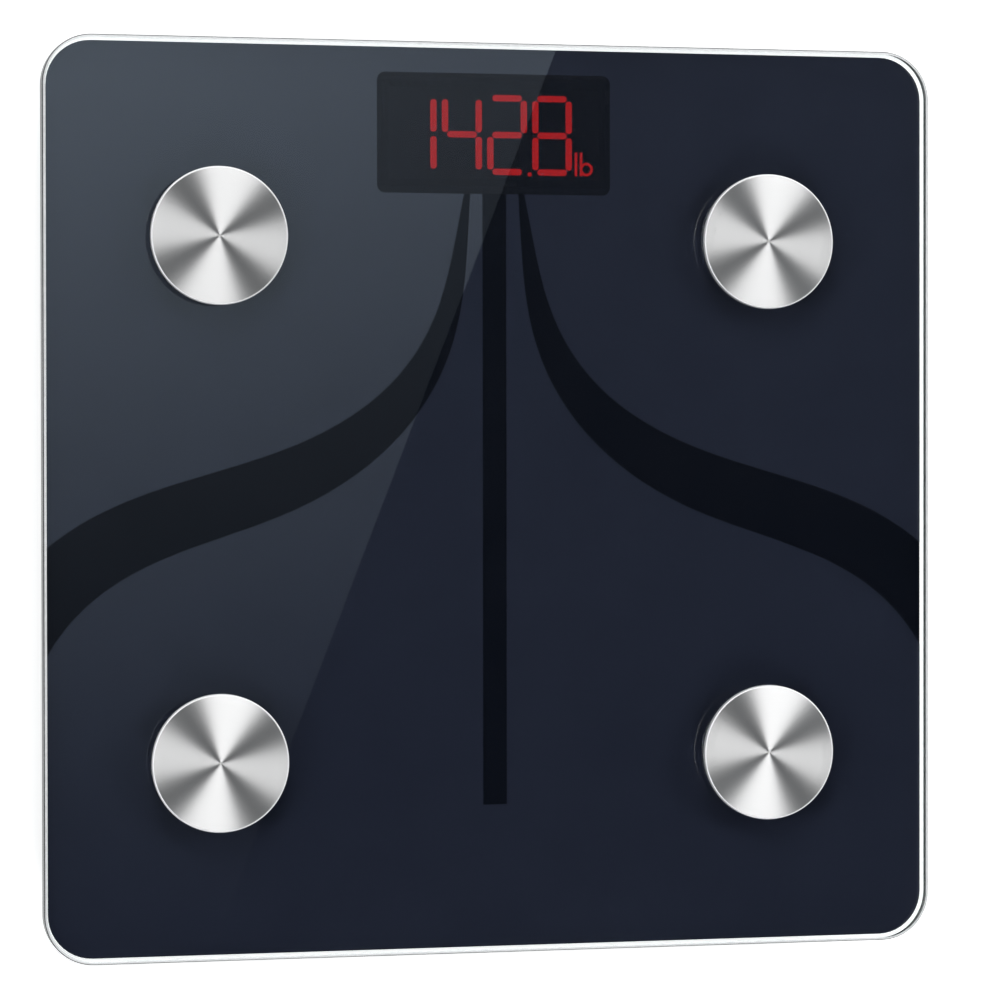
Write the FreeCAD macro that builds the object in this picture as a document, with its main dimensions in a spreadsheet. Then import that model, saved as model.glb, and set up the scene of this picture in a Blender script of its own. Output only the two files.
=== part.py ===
import FreeCAD, Part
import math
import os
import Sketcher

# Digital bathroom scale: glass platform on a plastic tray with four load-cell feet.
# Millimetres. +Z is up and +Y points at the display end. The origin is under the middle of the scale,
# on the surface that its feet stand on. "toe" corners are at the display end, "heel" corners opposite.

Vector = FreeCAD.Vector
doc = FreeCAD.newDocument("bathroom_scale")

SIZES = {
    # glass platform and its print
    "glass_width": 260,
    "glass_depth": 260,
    "glass_thick": 6,
    "corner_radius": 14,
    "edge_bevel": 0.8,
    "print_margin": 1.4,
    "print_film": 0.2,
    # display window, centre bar and swept bands
    "window_width": 68.6,
    "window_height": 34.4,
    "window_radius": 2.4,
    "window_margin": 8.5,
    "bar_width": 7,
    "bar_margin": 42.1,
    # electrodes, measured in from the glass edges
    "electrode_dia": 39,
    "electrode_thick": 1.5,
    "electrode_bevel": 0.5,
    "electrode_inset_x": 49.5,
    "electrode_inset_y": 55.9,
    "stud_dia": 4,
    "stud_hole": 5,
    "stud_below": 5,
    "gasket_thick": 0.3,
    "gasket_lip": 1,
    "nut_flats": 7,
    "nut_thick": 3.2,
    "terminal_dia": 8,
    "terminal_thick": 0.8,
    "terminal_reach": 11,
    "barrel_length": 5,
    "barrel_dia": 2.1,
    # tray
    "ground_gap": 4,
    "tray_inset": 5,
    "tray_height": 14,
    "tray_radius": 10,
    "tray_bevel": 1.5,
    "wall": 2,
    "floor_wall": 2.5,
    "ledge_width": 5,
    "ledge_thick": 2,
    "tape_thick": 1,
    "tape_width": 4.6,
    "rib_wall": 1.2,
    "rib_rise": 3,
    "rib_spread": 45,
    # feet and load cells
    "foot_inset": 29,
    "foot_dia": 41.6,
    "foot_flange": 0.8,
    "foot_clearance": 0.4,
    "foot_base": 2.8,
    "foot_wall": 2.8,
    "foot_top": 3,
    "foot_cup_gap": 1.2,
    "pad_dia": 34,
    "pad_recess": 1.3,
    "pad_clearance": 0.2,
    "pad_bevel": 0.6,
    "well_wall": 2,
    "well_roof": 2,
    "well_lip": 1.6,
    "ledge_ring": 13,
    "ledge_rise": 1,
    "cell_width": 34,
    "cell_corner": 6,
    "cell_thick": 2,
    "cell_slot": 2,
    "tongue_width": 13,
    "tongue_length": 20,
    "pip_dia": 8,
    "pip_rise": 1,
    "dab_width": 5,
    "dab_depth": 8,
    "dab_thick": 0.8,
    "notch_width": 5,
    # battery bay and door
    "cell_dia": 10.5,
    "cell_length": 43.3,
    "nub_dia": 3.8,
    "nub_length": 1.2,
    "cell_gap": 0.4,
    "cell_lift": 0.3,
    "bay_length": 51,
    "bay_wall": 1.6,
    "bay_roof": 1,
    "bay_headroom": 0.5,
    "bay_y": -12,
    "spring_wire": 0.6,
    "spring_radius": 3.2,
    "plate_thick": 0.4,
    "plate_width": 9,
    "door_gap": 0.3,
    "door_seat": 2,
    "door_thick": 2.4,
    "seat_rise": 1.2,
    "seat_rim": 2,
    "hinge_pin_dia": 1.4,
    "hinge_pin_reach": 1.5,
    "hinge_play": 0.05,
    "latch_room": 3.5,
    "latch_width": 12,
    "latch_wall": 1.2,
    "latch_rise": 2.4,
    "latch_reach": 1,
    "latch_hook": 0.8,
    "latch_play": 0.3,
    "notch_dia": 18,
    "notch_deep": 1.2,
    # board, display and button
    "board_width": 76,
    "board_depth": 42,
    "board_thick": 1.6,
    "board_rise": 4.5,
    "board_shift": 6.5,
    "boss_dia": 6,
    "screw_dia": 2.2,
    "screw_head_dia": 4,
    "screw_head_thick": 1.5,
    "screw_length": 5,
    "screw_edge": 2.9,
    "housing_width": 66,
    "housing_depth": 30,
    "foam_thick": 0.6,
    "foam_width": 2,
    "digit_pitch": 13.3,
    "digit_width": 9.9,
    "digit_height": 21.1,
    "segment_width": 1.8,
    "segment_gap": 1.3,
    "segment_thick": 0.3,
    "point_width": 1.2,
    "digits_x": 4.0,
    "digits_shift_y": 0.2,
    "letter_width": 0.75,
    "letter_height": 6.8,
    "letter_bowl": 3.9,
    "letters_x": 24.4,
    "button_dia": 9,
    "button_play": 0.2,
    "button_flange": 1.5,
    "button_flange_thick": 0.6,
    "button_recess": 0.3,
    "button_x": 24,
    "button_board_edge": 8,
    "switch_width": 6,
    "switch_height": 3.2,
    "plunger_dia": 3.5,
    "plunger_play": 0.1,
    "plunger_rise": 0.6,
    "plunger_deep": 0.7,
    "plunger_room": 0.8,
    "socket_depth": 5,
    "socket_height": 4.4,
    "socket_edge": 0.5,
    "lead_dia": 0.9,
    "lead_pitch": 1.1,
    "electrode_lead_dia": 1.2,
}

# Places that follow from the sizes. "_z" values are heights above the standing surface.
PLACES = {
    "tray_z": "sizes.ground_gap",
    "floor_z": "tray_z + sizes.floor_wall",
    "cell_pitch": "sizes.cell_dia + sizes.cell_gap",
    "battery_z": "tray_z + sizes.door_thick + sizes.cell_lift + sizes.cell_dia / 2",
    "bay_roof_z": "battery_z + sizes.cell_dia / 2 + sizes.cell_lift",
    "bay_top_z": "bay_roof_z + sizes.bay_roof + sizes.bay_headroom - sizes.tape_thick",
    "tray_top_z": "max(tray_z + sizes.tray_height; bay_top_z)",
    "black_z": "tray_top_z + sizes.tape_thick",
    "navy_z": "black_z + sizes.print_film",
    "glass_z": "navy_z + sizes.print_film",
    "glass_top_z": "glass_z + sizes.glass_thick",
    "disc_z": "glass_top_z + sizes.gasket_thick",
    "print_width": "sizes.glass_width - 2 * sizes.print_margin",
    "print_depth": "sizes.glass_depth - 2 * sizes.print_margin",
    "tray_width": "sizes.glass_width - 2 * sizes.tray_inset",
    "tray_depth": "sizes.glass_depth - 2 * sizes.tray_inset",
    "electrode_x": "sizes.glass_width / 2 - sizes.electrode_inset_x",
    "electrode_y": "sizes.glass_depth / 2 - sizes.electrode_inset_y",
    "foot_x": "tray_width / 2 - sizes.foot_inset",
    "foot_y": "tray_depth / 2 - sizes.foot_inset",
    "window_y": "sizes.glass_depth / 2 - sizes.window_margin - sizes.window_height / 2",
    "window_low_y": "window_y - sizes.window_height / 2",
    "bar_low_y": "sizes.bar_margin - sizes.glass_depth / 2",
    "cup_z": "sizes.foot_cup_gap",
    "cup_floor_z": "cup_z + sizes.foot_base",
    "flange_z": "tray_z + sizes.well_lip + sizes.door_gap",
    "cup_top_z": "cup_z + sizes.foot_base + sizes.foot_top",
    "cell_z": "cup_top_z + sizes.pip_rise",
    "cell_top_z": "cell_z + sizes.cell_thick",
    "well_roof_z": "cell_top_z + sizes.ledge_rise",
    "well_top_z": "well_roof_z + sizes.well_roof",
    "well_inner": "sizes.foot_dia + 2 * sizes.foot_flange + 2 * sizes.foot_clearance",
    "well_outer": "well_inner + 2 * sizes.well_wall",
    "bay_width": "2 * cell_pitch + sizes.cell_dia + 2 * sizes.door_gap",
    "door_width": "bay_width + 2 * sizes.door_seat",
    "door_length": "sizes.bay_length + 2 * sizes.door_seat + sizes.latch_room",
    "door_y": "sizes.bay_y + sizes.latch_room / 2",
    "bay_end_y": "sizes.bay_y + sizes.bay_length / 2",
    "bay_start_y": "sizes.bay_y - sizes.bay_length / 2",
    "door_end_y": "door_y + door_length / 2",
    "hinge_y": "door_y - door_length / 2 + sizes.door_thick / 2",
    "hinge_z": "tray_z + sizes.door_thick / 2",
    "latch_y": "bay_end_y + sizes.bay_wall + 2 * sizes.latch_play",
    "spring_length": "sizes.bay_length - 2 * sizes.plate_thick - sizes.cell_length - sizes.nub_length",
    "board_z": "floor_z + sizes.board_rise",
    "board_top_z": "board_z + sizes.board_thick",
    "board_y": "window_y - sizes.board_shift",
    "board_low_y": "board_y - sizes.board_depth / 2",
    "screw_x": "sizes.board_width / 2 - sizes.screw_edge",
    "screw_y": "sizes.board_depth / 2 - sizes.screw_edge",
    "housing_top_z": "black_z - sizes.foam_thick",
    "button_y": "board_low_y + sizes.button_board_edge",
    "switch_z": "board_z - sizes.switch_height",
    "button_top_z": "switch_z - sizes.plunger_rise",
    "digits_y": "window_y - sizes.digits_shift_y",
    "socket_z": "board_top_z + sizes.socket_height / 2",
    "socket_y": "board_low_y + sizes.socket_edge",
}

sizes = doc.addObject("Spreadsheet::Sheet", "sizes")
places = doc.addObject("Spreadsheet::Sheet", "places")


def fillSheet(sheet, cells, prefix):
    for row, (name, content) in enumerate(cells.items(), 1):
        sheet.set("A%d" % row, name)
        sheet.set("B%d" % row, prefix + str(content))
        sheet.setAlias("B%d" % row, name)


fillSheet(sizes, SIZES, "")
fillSheet(places, PLACES, "=")
doc.recompute()


def size(name):
    return float(sizes.get(name))


def placed(name):
    return float(places.get(name))


CORNERS = {
    "toe_left": (-1, 1),
    "toe_right": (1, 1),
    "heel_left": (-1, -1),
    "heel_right": (1, -1),
}
subParts = []


def keep(piece, label):
    """Gives a sub-part its own label and lists it for writing."""
    piece.Label = label
    subParts.append(piece)
    return piece


def bind(thing, **values):
    """Binds properties to expressions. A double underscore in a name stands for a dot."""
    for name, expression in values.items():
        thing.setExpression(name.replace("__", "."), str(expression))
    return thing


def moveTo(thing, x="0", y="0", z="0"):
    return bind(thing, Placement__Base__x=x, Placement__Base__y=y, Placement__Base__z=z)


# PartDesign helpers


def newBody(label):
    return keep(doc.addObject("PartDesign::Body", label), label)


def sketchOn(body, z="0", x="0", y="0", role="XY_Plane"):
    sketch = body.newObject("Sketcher::SketchObject", "outline")
    plane = next(item for item in body.Origin.OriginFeatures if item.Role == role)
    sketch.AttachmentSupport = [(plane, "")]
    sketch.MapMode = "FlatFace"
    bind(sketch, AttachmentOffset__Base__x=x, AttachmentOffset__Base__y=y, AttachmentOffset__Base__z=z)
    return sketch


def constrain(sketch, expression, kind, *where):
    index = sketch.addConstraint(Sketcher.Constraint(kind, *where, 1.0))
    sketch.setExpression("Constraints[%d]" % index, str(expression))


def circle(sketch, diameter, x="0", y="0"):
    ring = sketch.addGeometry(Part.Circle(Vector(1, 1, 0), Vector(0, 0, 1), 1), False)
    constrain(sketch, x, "DistanceX", -1, 1, ring, 3)
    constrain(sketch, y, "DistanceY", -1, 1, ring, 3)
    constrain(sketch, diameter, "Diameter", ring)


def rectangle(sketch, width, depth, x="0", y="0"):
    """A rectangle about the point (x, y)."""
    middle = sketch.addGeometry(Part.Point(Vector(0, 0, 0)), True)
    constrain(sketch, x, "DistanceX", -1, 1, middle, 1)
    constrain(sketch, y, "DistanceY", -1, 1, middle, 1)
    corners = [Vector(-5, -4, 0), Vector(5, -4, 0), Vector(5, 4, 0), Vector(-5, 4, 0)]
    lines = [
        sketch.addGeometry(Part.LineSegment(corners[i], corners[(i + 1) % 4]), False) for i in range(4)
    ]
    for i in range(4):
        sketch.addConstraint(Sketcher.Constraint("Coincident", lines[i], 2, lines[(i + 1) % 4], 1))
        sketch.addConstraint(Sketcher.Constraint("Vertical" if i % 2 else "Horizontal", lines[i]))
    sketch.addConstraint(Sketcher.Constraint("Symmetric", lines[0], 1, lines[2], 1, middle, 1))
    constrain(sketch, width, "DistanceX", lines[0], 1, lines[0], 2)
    constrain(sketch, depth, "DistanceY", lines[1], 1, lines[1], 2)


def roundedRectangle(sketch, width, depth, radius):
    """A rectangle with round corners about the sketch's origin."""
    lines = []
    arcs = []
    for i in range(4):
        turn = FreeCAD.Rotation(Vector(0, 0, 1), 90 * i)
        ends = [turn.multVec(Vector(-3, -4, 0)), turn.multVec(Vector(3, -4, 0))]
        lines.append(sketch.addGeometry(Part.LineSegment(*ends), False))
        corner = Part.Circle(turn.multVec(Vector(3, -3, 0)), Vector(0, 0, 1), 1)
        first = math.radians(90 * i - 90)
        arcs.append(sketch.addGeometry(Part.ArcOfCircle(corner, first, first + math.pi / 2), False))
    for i in range(4):
        sketch.addConstraint(Sketcher.Constraint("Tangent", lines[i], 2, arcs[i], 1))
        sketch.addConstraint(Sketcher.Constraint("Tangent", arcs[i], 2, lines[(i + 1) % 4], 1))
        sketch.addConstraint(Sketcher.Constraint("Vertical" if i % 2 else "Horizontal", lines[i]))
    for arc in arcs[1:]:
        sketch.addConstraint(Sketcher.Constraint("Equal", arcs[0], arc))
    sketch.addConstraint(Sketcher.Constraint("Symmetric", arcs[0], 3, arcs[2], 3, -1, 1))
    constrain(sketch, radius, "Radius", arcs[0])
    constrain(sketch, width, "DistanceX", lines[3], 1, lines[1], 1)
    constrain(sketch, depth, "DistanceY", lines[0], 1, lines[2], 1)


def pad(body, sketch, length):
    feature = body.newObject("PartDesign::Pad", "pad")
    feature.Profile = sketch
    sketch.Visibility = False
    return bind(feature, Length=length)


def pocket(body, sketch, length):
    """Cuts upwards from the sketch."""
    feature = body.newObject("PartDesign::Pocket", "pocket")
    feature.Profile = sketch
    feature.Reversed = True
    return bind(feature, Length=length)


def edgesOf(body, test):
    doc.recompute()
    return ["Edge%d" % n for n, edge in enumerate(body.Tip.Shape.Edges, 1) if test(edge)]


def upright(edge):
    tangent = edge.tangentAt(edge.FirstParameter)
    return isinstance(edge.Curve, Part.Line) and abs(tangent.z) > 0.999


def levelAt(z):
    """Picks the edges that lie at height z in the body's own frame."""
    return lambda edge: abs(edge.BoundBox.ZMin - z) < 1e-4 and abs(edge.BoundBox.ZMax - z) < 1e-4


def bevelEdges(body, width, test):
    edges = edgesOf(body, test)
    feature = body.newObject("PartDesign::Chamfer", "bevel")
    feature.Base = (feature.BaseFeature, edges)
    return bind(feature, Size=width)


def revolve(body, points):
    """Turns a closed outline of (radius, height) expressions about the body's own Z axis."""
    sketch = sketchOn(body, role="XZ_Plane")
    guesses = [Vector(2 + i, i * i + 1, 0) for i in range(len(points))]
    count = len(points)
    lines = [
        sketch.addGeometry(Part.LineSegment(guesses[i], guesses[(i + 1) % count]), False)
        for i in range(count)
    ]
    for i, (radius, height) in enumerate(points):
        sketch.addConstraint(Sketcher.Constraint("Coincident", lines[i - 1], 2, lines[i], 1))
        constrain(sketch, radius, "DistanceX", -1, 1, lines[i], 1)
        constrain(sketch, height, "DistanceY", -1, 1, lines[i], 1)
    feature = body.newObject("PartDesign::Revolution", "turned")
    feature.Profile = sketch
    feature.ReferenceAxis = (sketch, ["V_Axis"])
    feature.Angle = 360
    return feature


# Part helpers


def box(width, depth, height, x="0", y="0", z="0"):
    """A block standing on z, centred on (x, y)."""
    block = bind(doc.addObject("Part::Box", "block"), Length=width, Width=depth, Height=height)
    return moveTo(block, "(%s) - (%s) / 2" % (x, width), "(%s) - (%s) / 2" % (y, depth), z)


def cylinder(diameter, height, x="0", y="0", z="0", axis=(0, 0, 1)):
    rod = doc.addObject("Part::Cylinder", "rod")
    rod.Placement.Rotation = FreeCAD.Rotation(Vector(0, 0, 1), Vector(*axis))
    bind(rod, Radius="(%s) / 2" % diameter, Height=height)
    return moveTo(rod, x, y, z)


def cut(base, *tools):
    for tool in tools:
        result = doc.addObject("Part::Cut", "cut")
        result.Base = base
        result.Tool = tool
        base = result
    return base


def fuse(*pieces):
    result = doc.addObject("Part::MultiFuse", "fused")
    result.Shapes = list(pieces)
    return result


def group(label, pieces):
    """Separate solids that share one node."""
    result = doc.addObject("Part::Compound", label)
    result.Links = pieces
    return keep(result, label)


def shaped(label, shape):
    """A sub-part whose shape is made by Part's own functions."""
    feature = doc.addObject("Part::Feature", label)
    feature.Shape = shape
    return keep(feature, label)


def tube(points, diameter):
    """A round wire along straight runs joined by tangent arcs, each as large as its two runs allow."""
    points = [Vector(*point) for point in points]
    edges = []
    start = points[0]
    for before, corner, after in zip(points, points[1:], points[2:]):
        back = (before - corner).normalize()
        ahead = (after - corner).normalize()
        turn = math.pi - back.getAngle(ahead)
        shorter = min((before - corner).Length, (after - corner).Length)
        trim = 0.45 * shorter
        radius = trim / math.tan(turn / 2)
        middle = (back + ahead).normalize()
        centre = corner + middle * (radius / math.cos(turn / 2))
        edges.append(Part.LineSegment(start, corner + back * trim).toShape())
        arc = Part.Arc(corner + back * trim, centre - middle * radius, corner + ahead * trim)
        edges.append(arc.toShape())
        bendRadii.append(radius)
        start = corner + ahead * trim
    edges.append(Part.LineSegment(start, points[-1]).toShape())
    path = Part.Wire(edges)
    section = Part.Circle(points[0], points[1] - points[0], diameter / 2).toShape()
    lead = path.makePipeShell([Part.Wire(section)], True, False)
    expected = path.Length * math.pi * diameter**2 / 4
    if abs(lead.Volume / expected - 1) > 0.01:
        raise ValueError("a wire's volume doesn't match its length")
    return lead


bendRadii = []


# Glass platform and its print


def roundedPlate(label, width, depth, thick, radius, z):
    plate = newBody(label)
    outline = sketchOn(plate, z)
    roundedRectangle(outline, width, depth, radius)
    pad(plate, outline, thick)
    return plate


def drillStudHoles(plate, thick, z):
    holes = sketchOn(plate, z)
    for side, end in CORNERS.values():
        circle(holes, "sizes.stud_hole", "%d * places.electrode_x" % side, "%d * places.electrode_y" % end)
    pocket(plate, holes, thick)


def makeGlass():
    glass = roundedPlate(
        "glass_platform",
        "sizes.glass_width",
        "sizes.glass_depth",
        "sizes.glass_thick",
        "sizes.corner_radius",
        "places.glass_z",
    )
    rims = [placed("glass_z"), placed("glass_top_z")]
    bevelEdges(glass, "sizes.edge_bevel", lambda edge: any(levelAt(z)(edge) for z in rims))
    drillStudHoles(glass, "sizes.glass_thick", "places.glass_z")


# Points on a swept band's two edges, from the window's foot outwards. Each is its share of the way to
# the print's side edge, and its share of the way down from the window's foot to the plate's middle.
BAND_UPPER = [(0.069, 0), (0.096, 0.2), (0.144, 0.43), (0.233, 0.62), (0.46, 0.83), (0.78, 0.98), (1, 1.155)]
BAND_LOWER = [
    (0.055, 0),
    (0.063, 0.2),
    (0.084, 0.43),
    (0.128, 0.61),
    (0.233, 0.82),
    (0.46, 1.04),
    (0.78, 1.215),
    (1, 1.5),
]


def bandCutter(side):
    """The swept shape that shows the black layer, running from the window out past the side edge."""
    reach = placed("print_width") / 2
    top = placed("window_low_y")

    def curve(shares):
        points = [Vector(side * reach * across, top * (1 - down), 0) for across, down in shares]
        line = Part.BSplineCurve()
        line.interpolate(points)
        return line.toShape(), points

    upper, upperPoints = curve(BAND_UPPER)
    lower, lowerPoints = curve(BAND_LOWER)
    inner = Part.LineSegment(upperPoints[0], lowerPoints[0]).toShape()
    beyond = side * (reach + size("print_margin"))
    outer = [
        upperPoints[-1],
        Vector(beyond, upperPoints[-1].y, 0),
        Vector(beyond, lowerPoints[-1].y, 0),
        lowerPoints[-1],
    ]
    sides = [Part.LineSegment(outer[i], outer[i + 1]).toShape() for i in range(3)]
    face = Part.Face(Part.Wire(Part.__sortEdges__([upper, lower, inner] + sides)))
    face.translate(Vector(0, 0, placed("navy_z")))
    cutter = doc.addObject("Part::Feature", "band")
    cutter.Shape = face.extrude(Vector(0, 0, size("print_film")))
    return cutter


def windowBlock(z, thick):
    """The display window's rounded outline as a block, to cut with or to keep."""
    block = box("sizes.window_width", "sizes.window_height", thick, "0", "places.window_y", z)
    doc.recompute()
    rounded = doc.addObject("Part::Fillet", "window")
    rounded.Base = block
    radius = size("window_radius")
    rounded.Edges = [
        (n, radius, radius) for n, edge in enumerate(block.Shape.Edges, 1) if upright(edge)
    ]
    return rounded


def makePrint():
    layers = {"navy": "places.navy_z", "black": "places.black_z"}
    radius = "sizes.corner_radius - sizes.print_margin"
    plates = {}
    for colour, z in layers.items():
        plate = roundedPlate(
            colour, "places.print_width", "places.print_depth", "sizes.print_film", radius, z
        )
        subParts.remove(plate)
        drillStudHoles(plate, "sizes.print_film", z)
        plates[colour] = cut(plate, windowBlock(z, "sizes.print_film"))
    bar = box(
        "sizes.bar_width",
        "places.window_low_y - places.bar_low_y",
        "sizes.print_film",
        "0",
        "(places.window_low_y + places.bar_low_y) / 2",
        "places.navy_z",
    )
    keep(cut(plates["navy"], bar, bandCutter(-1), bandCutter(1)), "print_navy")
    keep(plates["black"], "print_black")
    keep(windowBlock("places.black_z", "2 * sizes.print_film"), "display_window")


# Electrodes and what holds them


def makeElectrodes():
    for name, (side, end) in CORNERS.items():
        electrode = newBody("electrode_" + name)
        disc = "sizes.electrode_dia / 2"
        stud = "sizes.stud_dia / 2"
        foot = "places.black_z - places.disc_z - sizes.stud_below"
        revolve(
            electrode,
            [
                ("0", foot),
                (stud, foot),
                (stud, "0"),
                (disc, "0"),
                (disc, "sizes.electrode_thick - sizes.electrode_bevel"),
                (disc + " - sizes.electrode_bevel", "sizes.electrode_thick"),
                ("0", "sizes.electrode_thick"),
            ],
        )
        moveTo(
            electrode,
            "%d * places.electrode_x" % side,
            "%d * places.electrode_y" % end,
            "places.disc_z",
        )
    gaskets = []
    nuts = []
    terminals = []
    for side, end in CORNERS.values():
        x = "%d * places.electrode_x" % side
        y = "%d * places.electrode_y" % end
        seal = "sizes.electrode_dia - 2 * sizes.gasket_lip"
        outer = cylinder(seal, "sizes.gasket_thick", x, y, "places.glass_top_z")
        hole = cylinder("sizes.stud_hole", "sizes.gasket_thick", x, y, "places.glass_top_z")
        gaskets.append(cut(outer, hole))
        nut = doc.addObject("Part::Prism", "hexagon")
        nut.Polygon = 6
        bind(nut, Circumradius="sizes.nut_flats / sqrt(3)", Height="sizes.nut_thick")
        nutZ = "places.black_z - sizes.terminal_thick - sizes.nut_thick"
        moveTo(nut, x, y, nutZ)
        nuts.append(cut(nut, cylinder("sizes.stud_dia", "sizes.nut_thick", x, y, nutZ)))
        # the ring lies against the print and its crimped barrel points at the middle of the scale
        ringZ = "places.black_z - sizes.terminal_thick"
        ring = cylinder("sizes.terminal_dia", "sizes.terminal_thick", x, y, ringZ)
        neck = box(
            "sizes.terminal_reach",
            "sizes.barrel_dia",
            "sizes.terminal_thick",
            "%s - %d * sizes.terminal_reach / 2" % (x, side),
            y,
            ringZ,
        )
        barrel = cylinder(
            "sizes.barrel_dia",
            "sizes.barrel_length",
            "%s - %d * (sizes.terminal_reach - sizes.barrel_length)" % (x, side),
            y,
            "places.black_z - sizes.barrel_dia / 2",
            axis=(-side, 0, 0),
        )
        bore = cylinder("sizes.stud_dia", "sizes.terminal_thick", x, y, ringZ)
        terminals.append(cut(fuse(ring, neck, barrel), bore))
    group("electrode_gaskets", gaskets)
    group("electrode_nuts", nuts)
    group("electrode_terminals", terminals)


# Tray


def everyCorner(sketch, diameter, x, y):
    for side, end in CORNERS.values():
        circle(sketch, diameter, "%d * %s" % (side, x), "%d * %s" % (end, y))


def makeTape():
    tape = newBody("bonding_tape")
    outline = sketchOn(tape, "places.tray_top_z")
    roundedRectangle(outline, "places.tray_width", "places.tray_depth", "sizes.tray_radius")
    pad(tape, outline, "sizes.tape_thick")
    middle = sketchOn(tape, "places.tray_top_z")
    roundedRectangle(
        middle,
        "places.tray_width - 2 * sizes.tape_width",
        "places.tray_depth - 2 * sizes.tape_width",
        "sizes.tray_radius - sizes.tape_width",
    )
    pocket(tape, middle, "sizes.tape_thick")


def hollowTray(shell):
    cavity = sketchOn(shell, "places.floor_z")
    roundedRectangle(
        cavity,
        "places.tray_width - 2 * sizes.wall",
        "places.tray_depth - 2 * sizes.wall",
        "sizes.tray_radius - sizes.wall",
    )
    pocket(shell, cavity, "places.tray_top_z - places.floor_z - sizes.ledge_thick")
    mouth = sketchOn(shell, "places.floor_z")
    roundedRectangle(
        mouth,
        "places.tray_width - 2 * sizes.ledge_width",
        "places.tray_depth - 2 * sizes.ledge_width",
        "sizes.tray_radius - sizes.ledge_width",
    )
    pocket(shell, mouth, "places.tray_top_z - places.floor_z")


def addRibs(shell):
    """Low ribs along the floor, between the wells and round the bay."""
    ribs = sketchOn(shell, "places.floor_z")
    depth = "places.tray_depth - 2 * sizes.wall"
    for side in (-1, 1):
        rectangle(ribs, "sizes.rib_wall", depth, "%d * sizes.rib_spread" % side)
    pad(shell, ribs, "sizes.rib_rise")
    crossRibs = sketchOn(shell, "places.floor_z")
    gap = "sizes.rib_wall + places.well_outer / 2 + 10"
    for end in (-1, 1):
        rectangle(
            crossRibs,
            "places.tray_width - 2 * sizes.wall",
            "sizes.rib_wall",
            "0",
            "%d * (places.foot_y - (%s))" % (end, gap),
        )
    pad(shell, crossRibs, "sizes.rib_rise")


def addWells(shell):
    walls = sketchOn(shell, "places.tray_z")
    everyCorner(walls, "places.well_outer", "places.foot_x", "places.foot_y")
    pad(shell, walls, "places.well_top_z - places.tray_z")
    mouths = sketchOn(shell, "places.tray_z")
    everyCorner(mouths, "sizes.foot_dia + 2 * sizes.foot_clearance", "places.foot_x", "places.foot_y")
    pocket(shell, mouths, "sizes.well_lip")
    wells = sketchOn(shell, "places.tray_z + sizes.well_lip")
    everyCorner(wells, "places.well_inner", "places.foot_x", "places.foot_y")
    pocket(shell, wells, "places.cell_top_z - places.tray_z - sizes.well_lip")
    reliefs = sketchOn(shell, "places.cell_top_z")
    everyCorner(reliefs, "places.well_inner - sizes.ledge_ring", "places.foot_x", "places.foot_y")
    pocket(shell, reliefs, "sizes.ledge_rise")
    notches = sketchOn(shell, "places.cell_top_z")
    length = "sizes.ledge_ring / 2 + 2 * sizes.well_wall"
    for side, end in CORNERS.values():
        rectangle(
            notches,
            length,
            "sizes.notch_width",
            "%d * (places.foot_x - places.well_outer / 2 + (%s) / 2 - sizes.well_wall / 2)" % (side, length),
            "%d * places.foot_y" % end,
        )
    pocket(shell, notches, "sizes.ledge_rise")


def addBay(shell):
    doorOpening = ("places.door_width + 2 * sizes.door_gap", "places.door_length + 2 * sizes.door_gap")
    seat = sketchOn(shell, "places.tray_z")
    rectangle(
        seat,
        doorOpening[0] + " + 2 * sizes.seat_rim",
        doorOpening[1] + " + 2 * sizes.seat_rim",
        "0",
        "places.door_y",
    )
    pad(shell, seat, "sizes.floor_wall + sizes.seat_rise")
    walls = sketchOn(shell, "places.tray_z")
    rectangle(
        walls,
        "places.bay_width + 2 * sizes.bay_wall",
        "sizes.bay_length + 2 * sizes.bay_wall",
        "0",
        "sizes.bay_y",
    )
    pad(shell, walls, "places.bay_roof_z + sizes.bay_roof - places.tray_z")
    bay = sketchOn(shell, "places.tray_z")
    rectangle(bay, "places.bay_width", "sizes.bay_length", "0", "sizes.bay_y")
    pocket(shell, bay, "places.bay_roof_z - places.tray_z")
    opening = sketchOn(shell, "places.tray_z")
    rectangle(opening, *doorOpening, "0", "places.door_y")
    pocket(shell, opening, "sizes.floor_wall")
    latchSlot = sketchOn(shell, "places.floor_z")
    slotDepth = "sizes.latch_wall + sizes.latch_reach + 2 * sizes.latch_play"
    rectangle(
        latchSlot,
        "sizes.latch_width + 2 * sizes.latch_play",
        slotDepth,
        "0",
        "places.latch_y - sizes.latch_play + (%s) / 2" % slotDepth,
    )
    pocket(shell, latchSlot, "sizes.seat_rise")
    fingerNotch = sketchOn(shell, "places.tray_z")
    circle(fingerNotch, "sizes.notch_dia", "0", "places.door_end_y + sizes.door_gap")
    pocket(shell, fingerNotch, "sizes.notch_deep")


def addBosses(shell):
    bosses = sketchOn(shell, "places.floor_z")
    pilots = sketchOn(shell, "places.floor_z")
    for side, end in CORNERS.values():
        spot = ("%d * places.screw_x" % side, "places.board_y + %d * places.screw_y" % end)
        circle(bosses, "sizes.boss_dia", *spot)
        circle(pilots, "sizes.screw_dia", *spot)
    pad(shell, bosses, "sizes.board_rise")
    pocket(shell, pilots, "sizes.board_rise")
    buttonHole = sketchOn(shell, "places.tray_z")
    circle(buttonHole, "sizes.button_dia + 2 * sizes.button_play", "sizes.button_x", "places.button_y")
    pocket(shell, buttonHole, "sizes.floor_wall")


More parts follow.
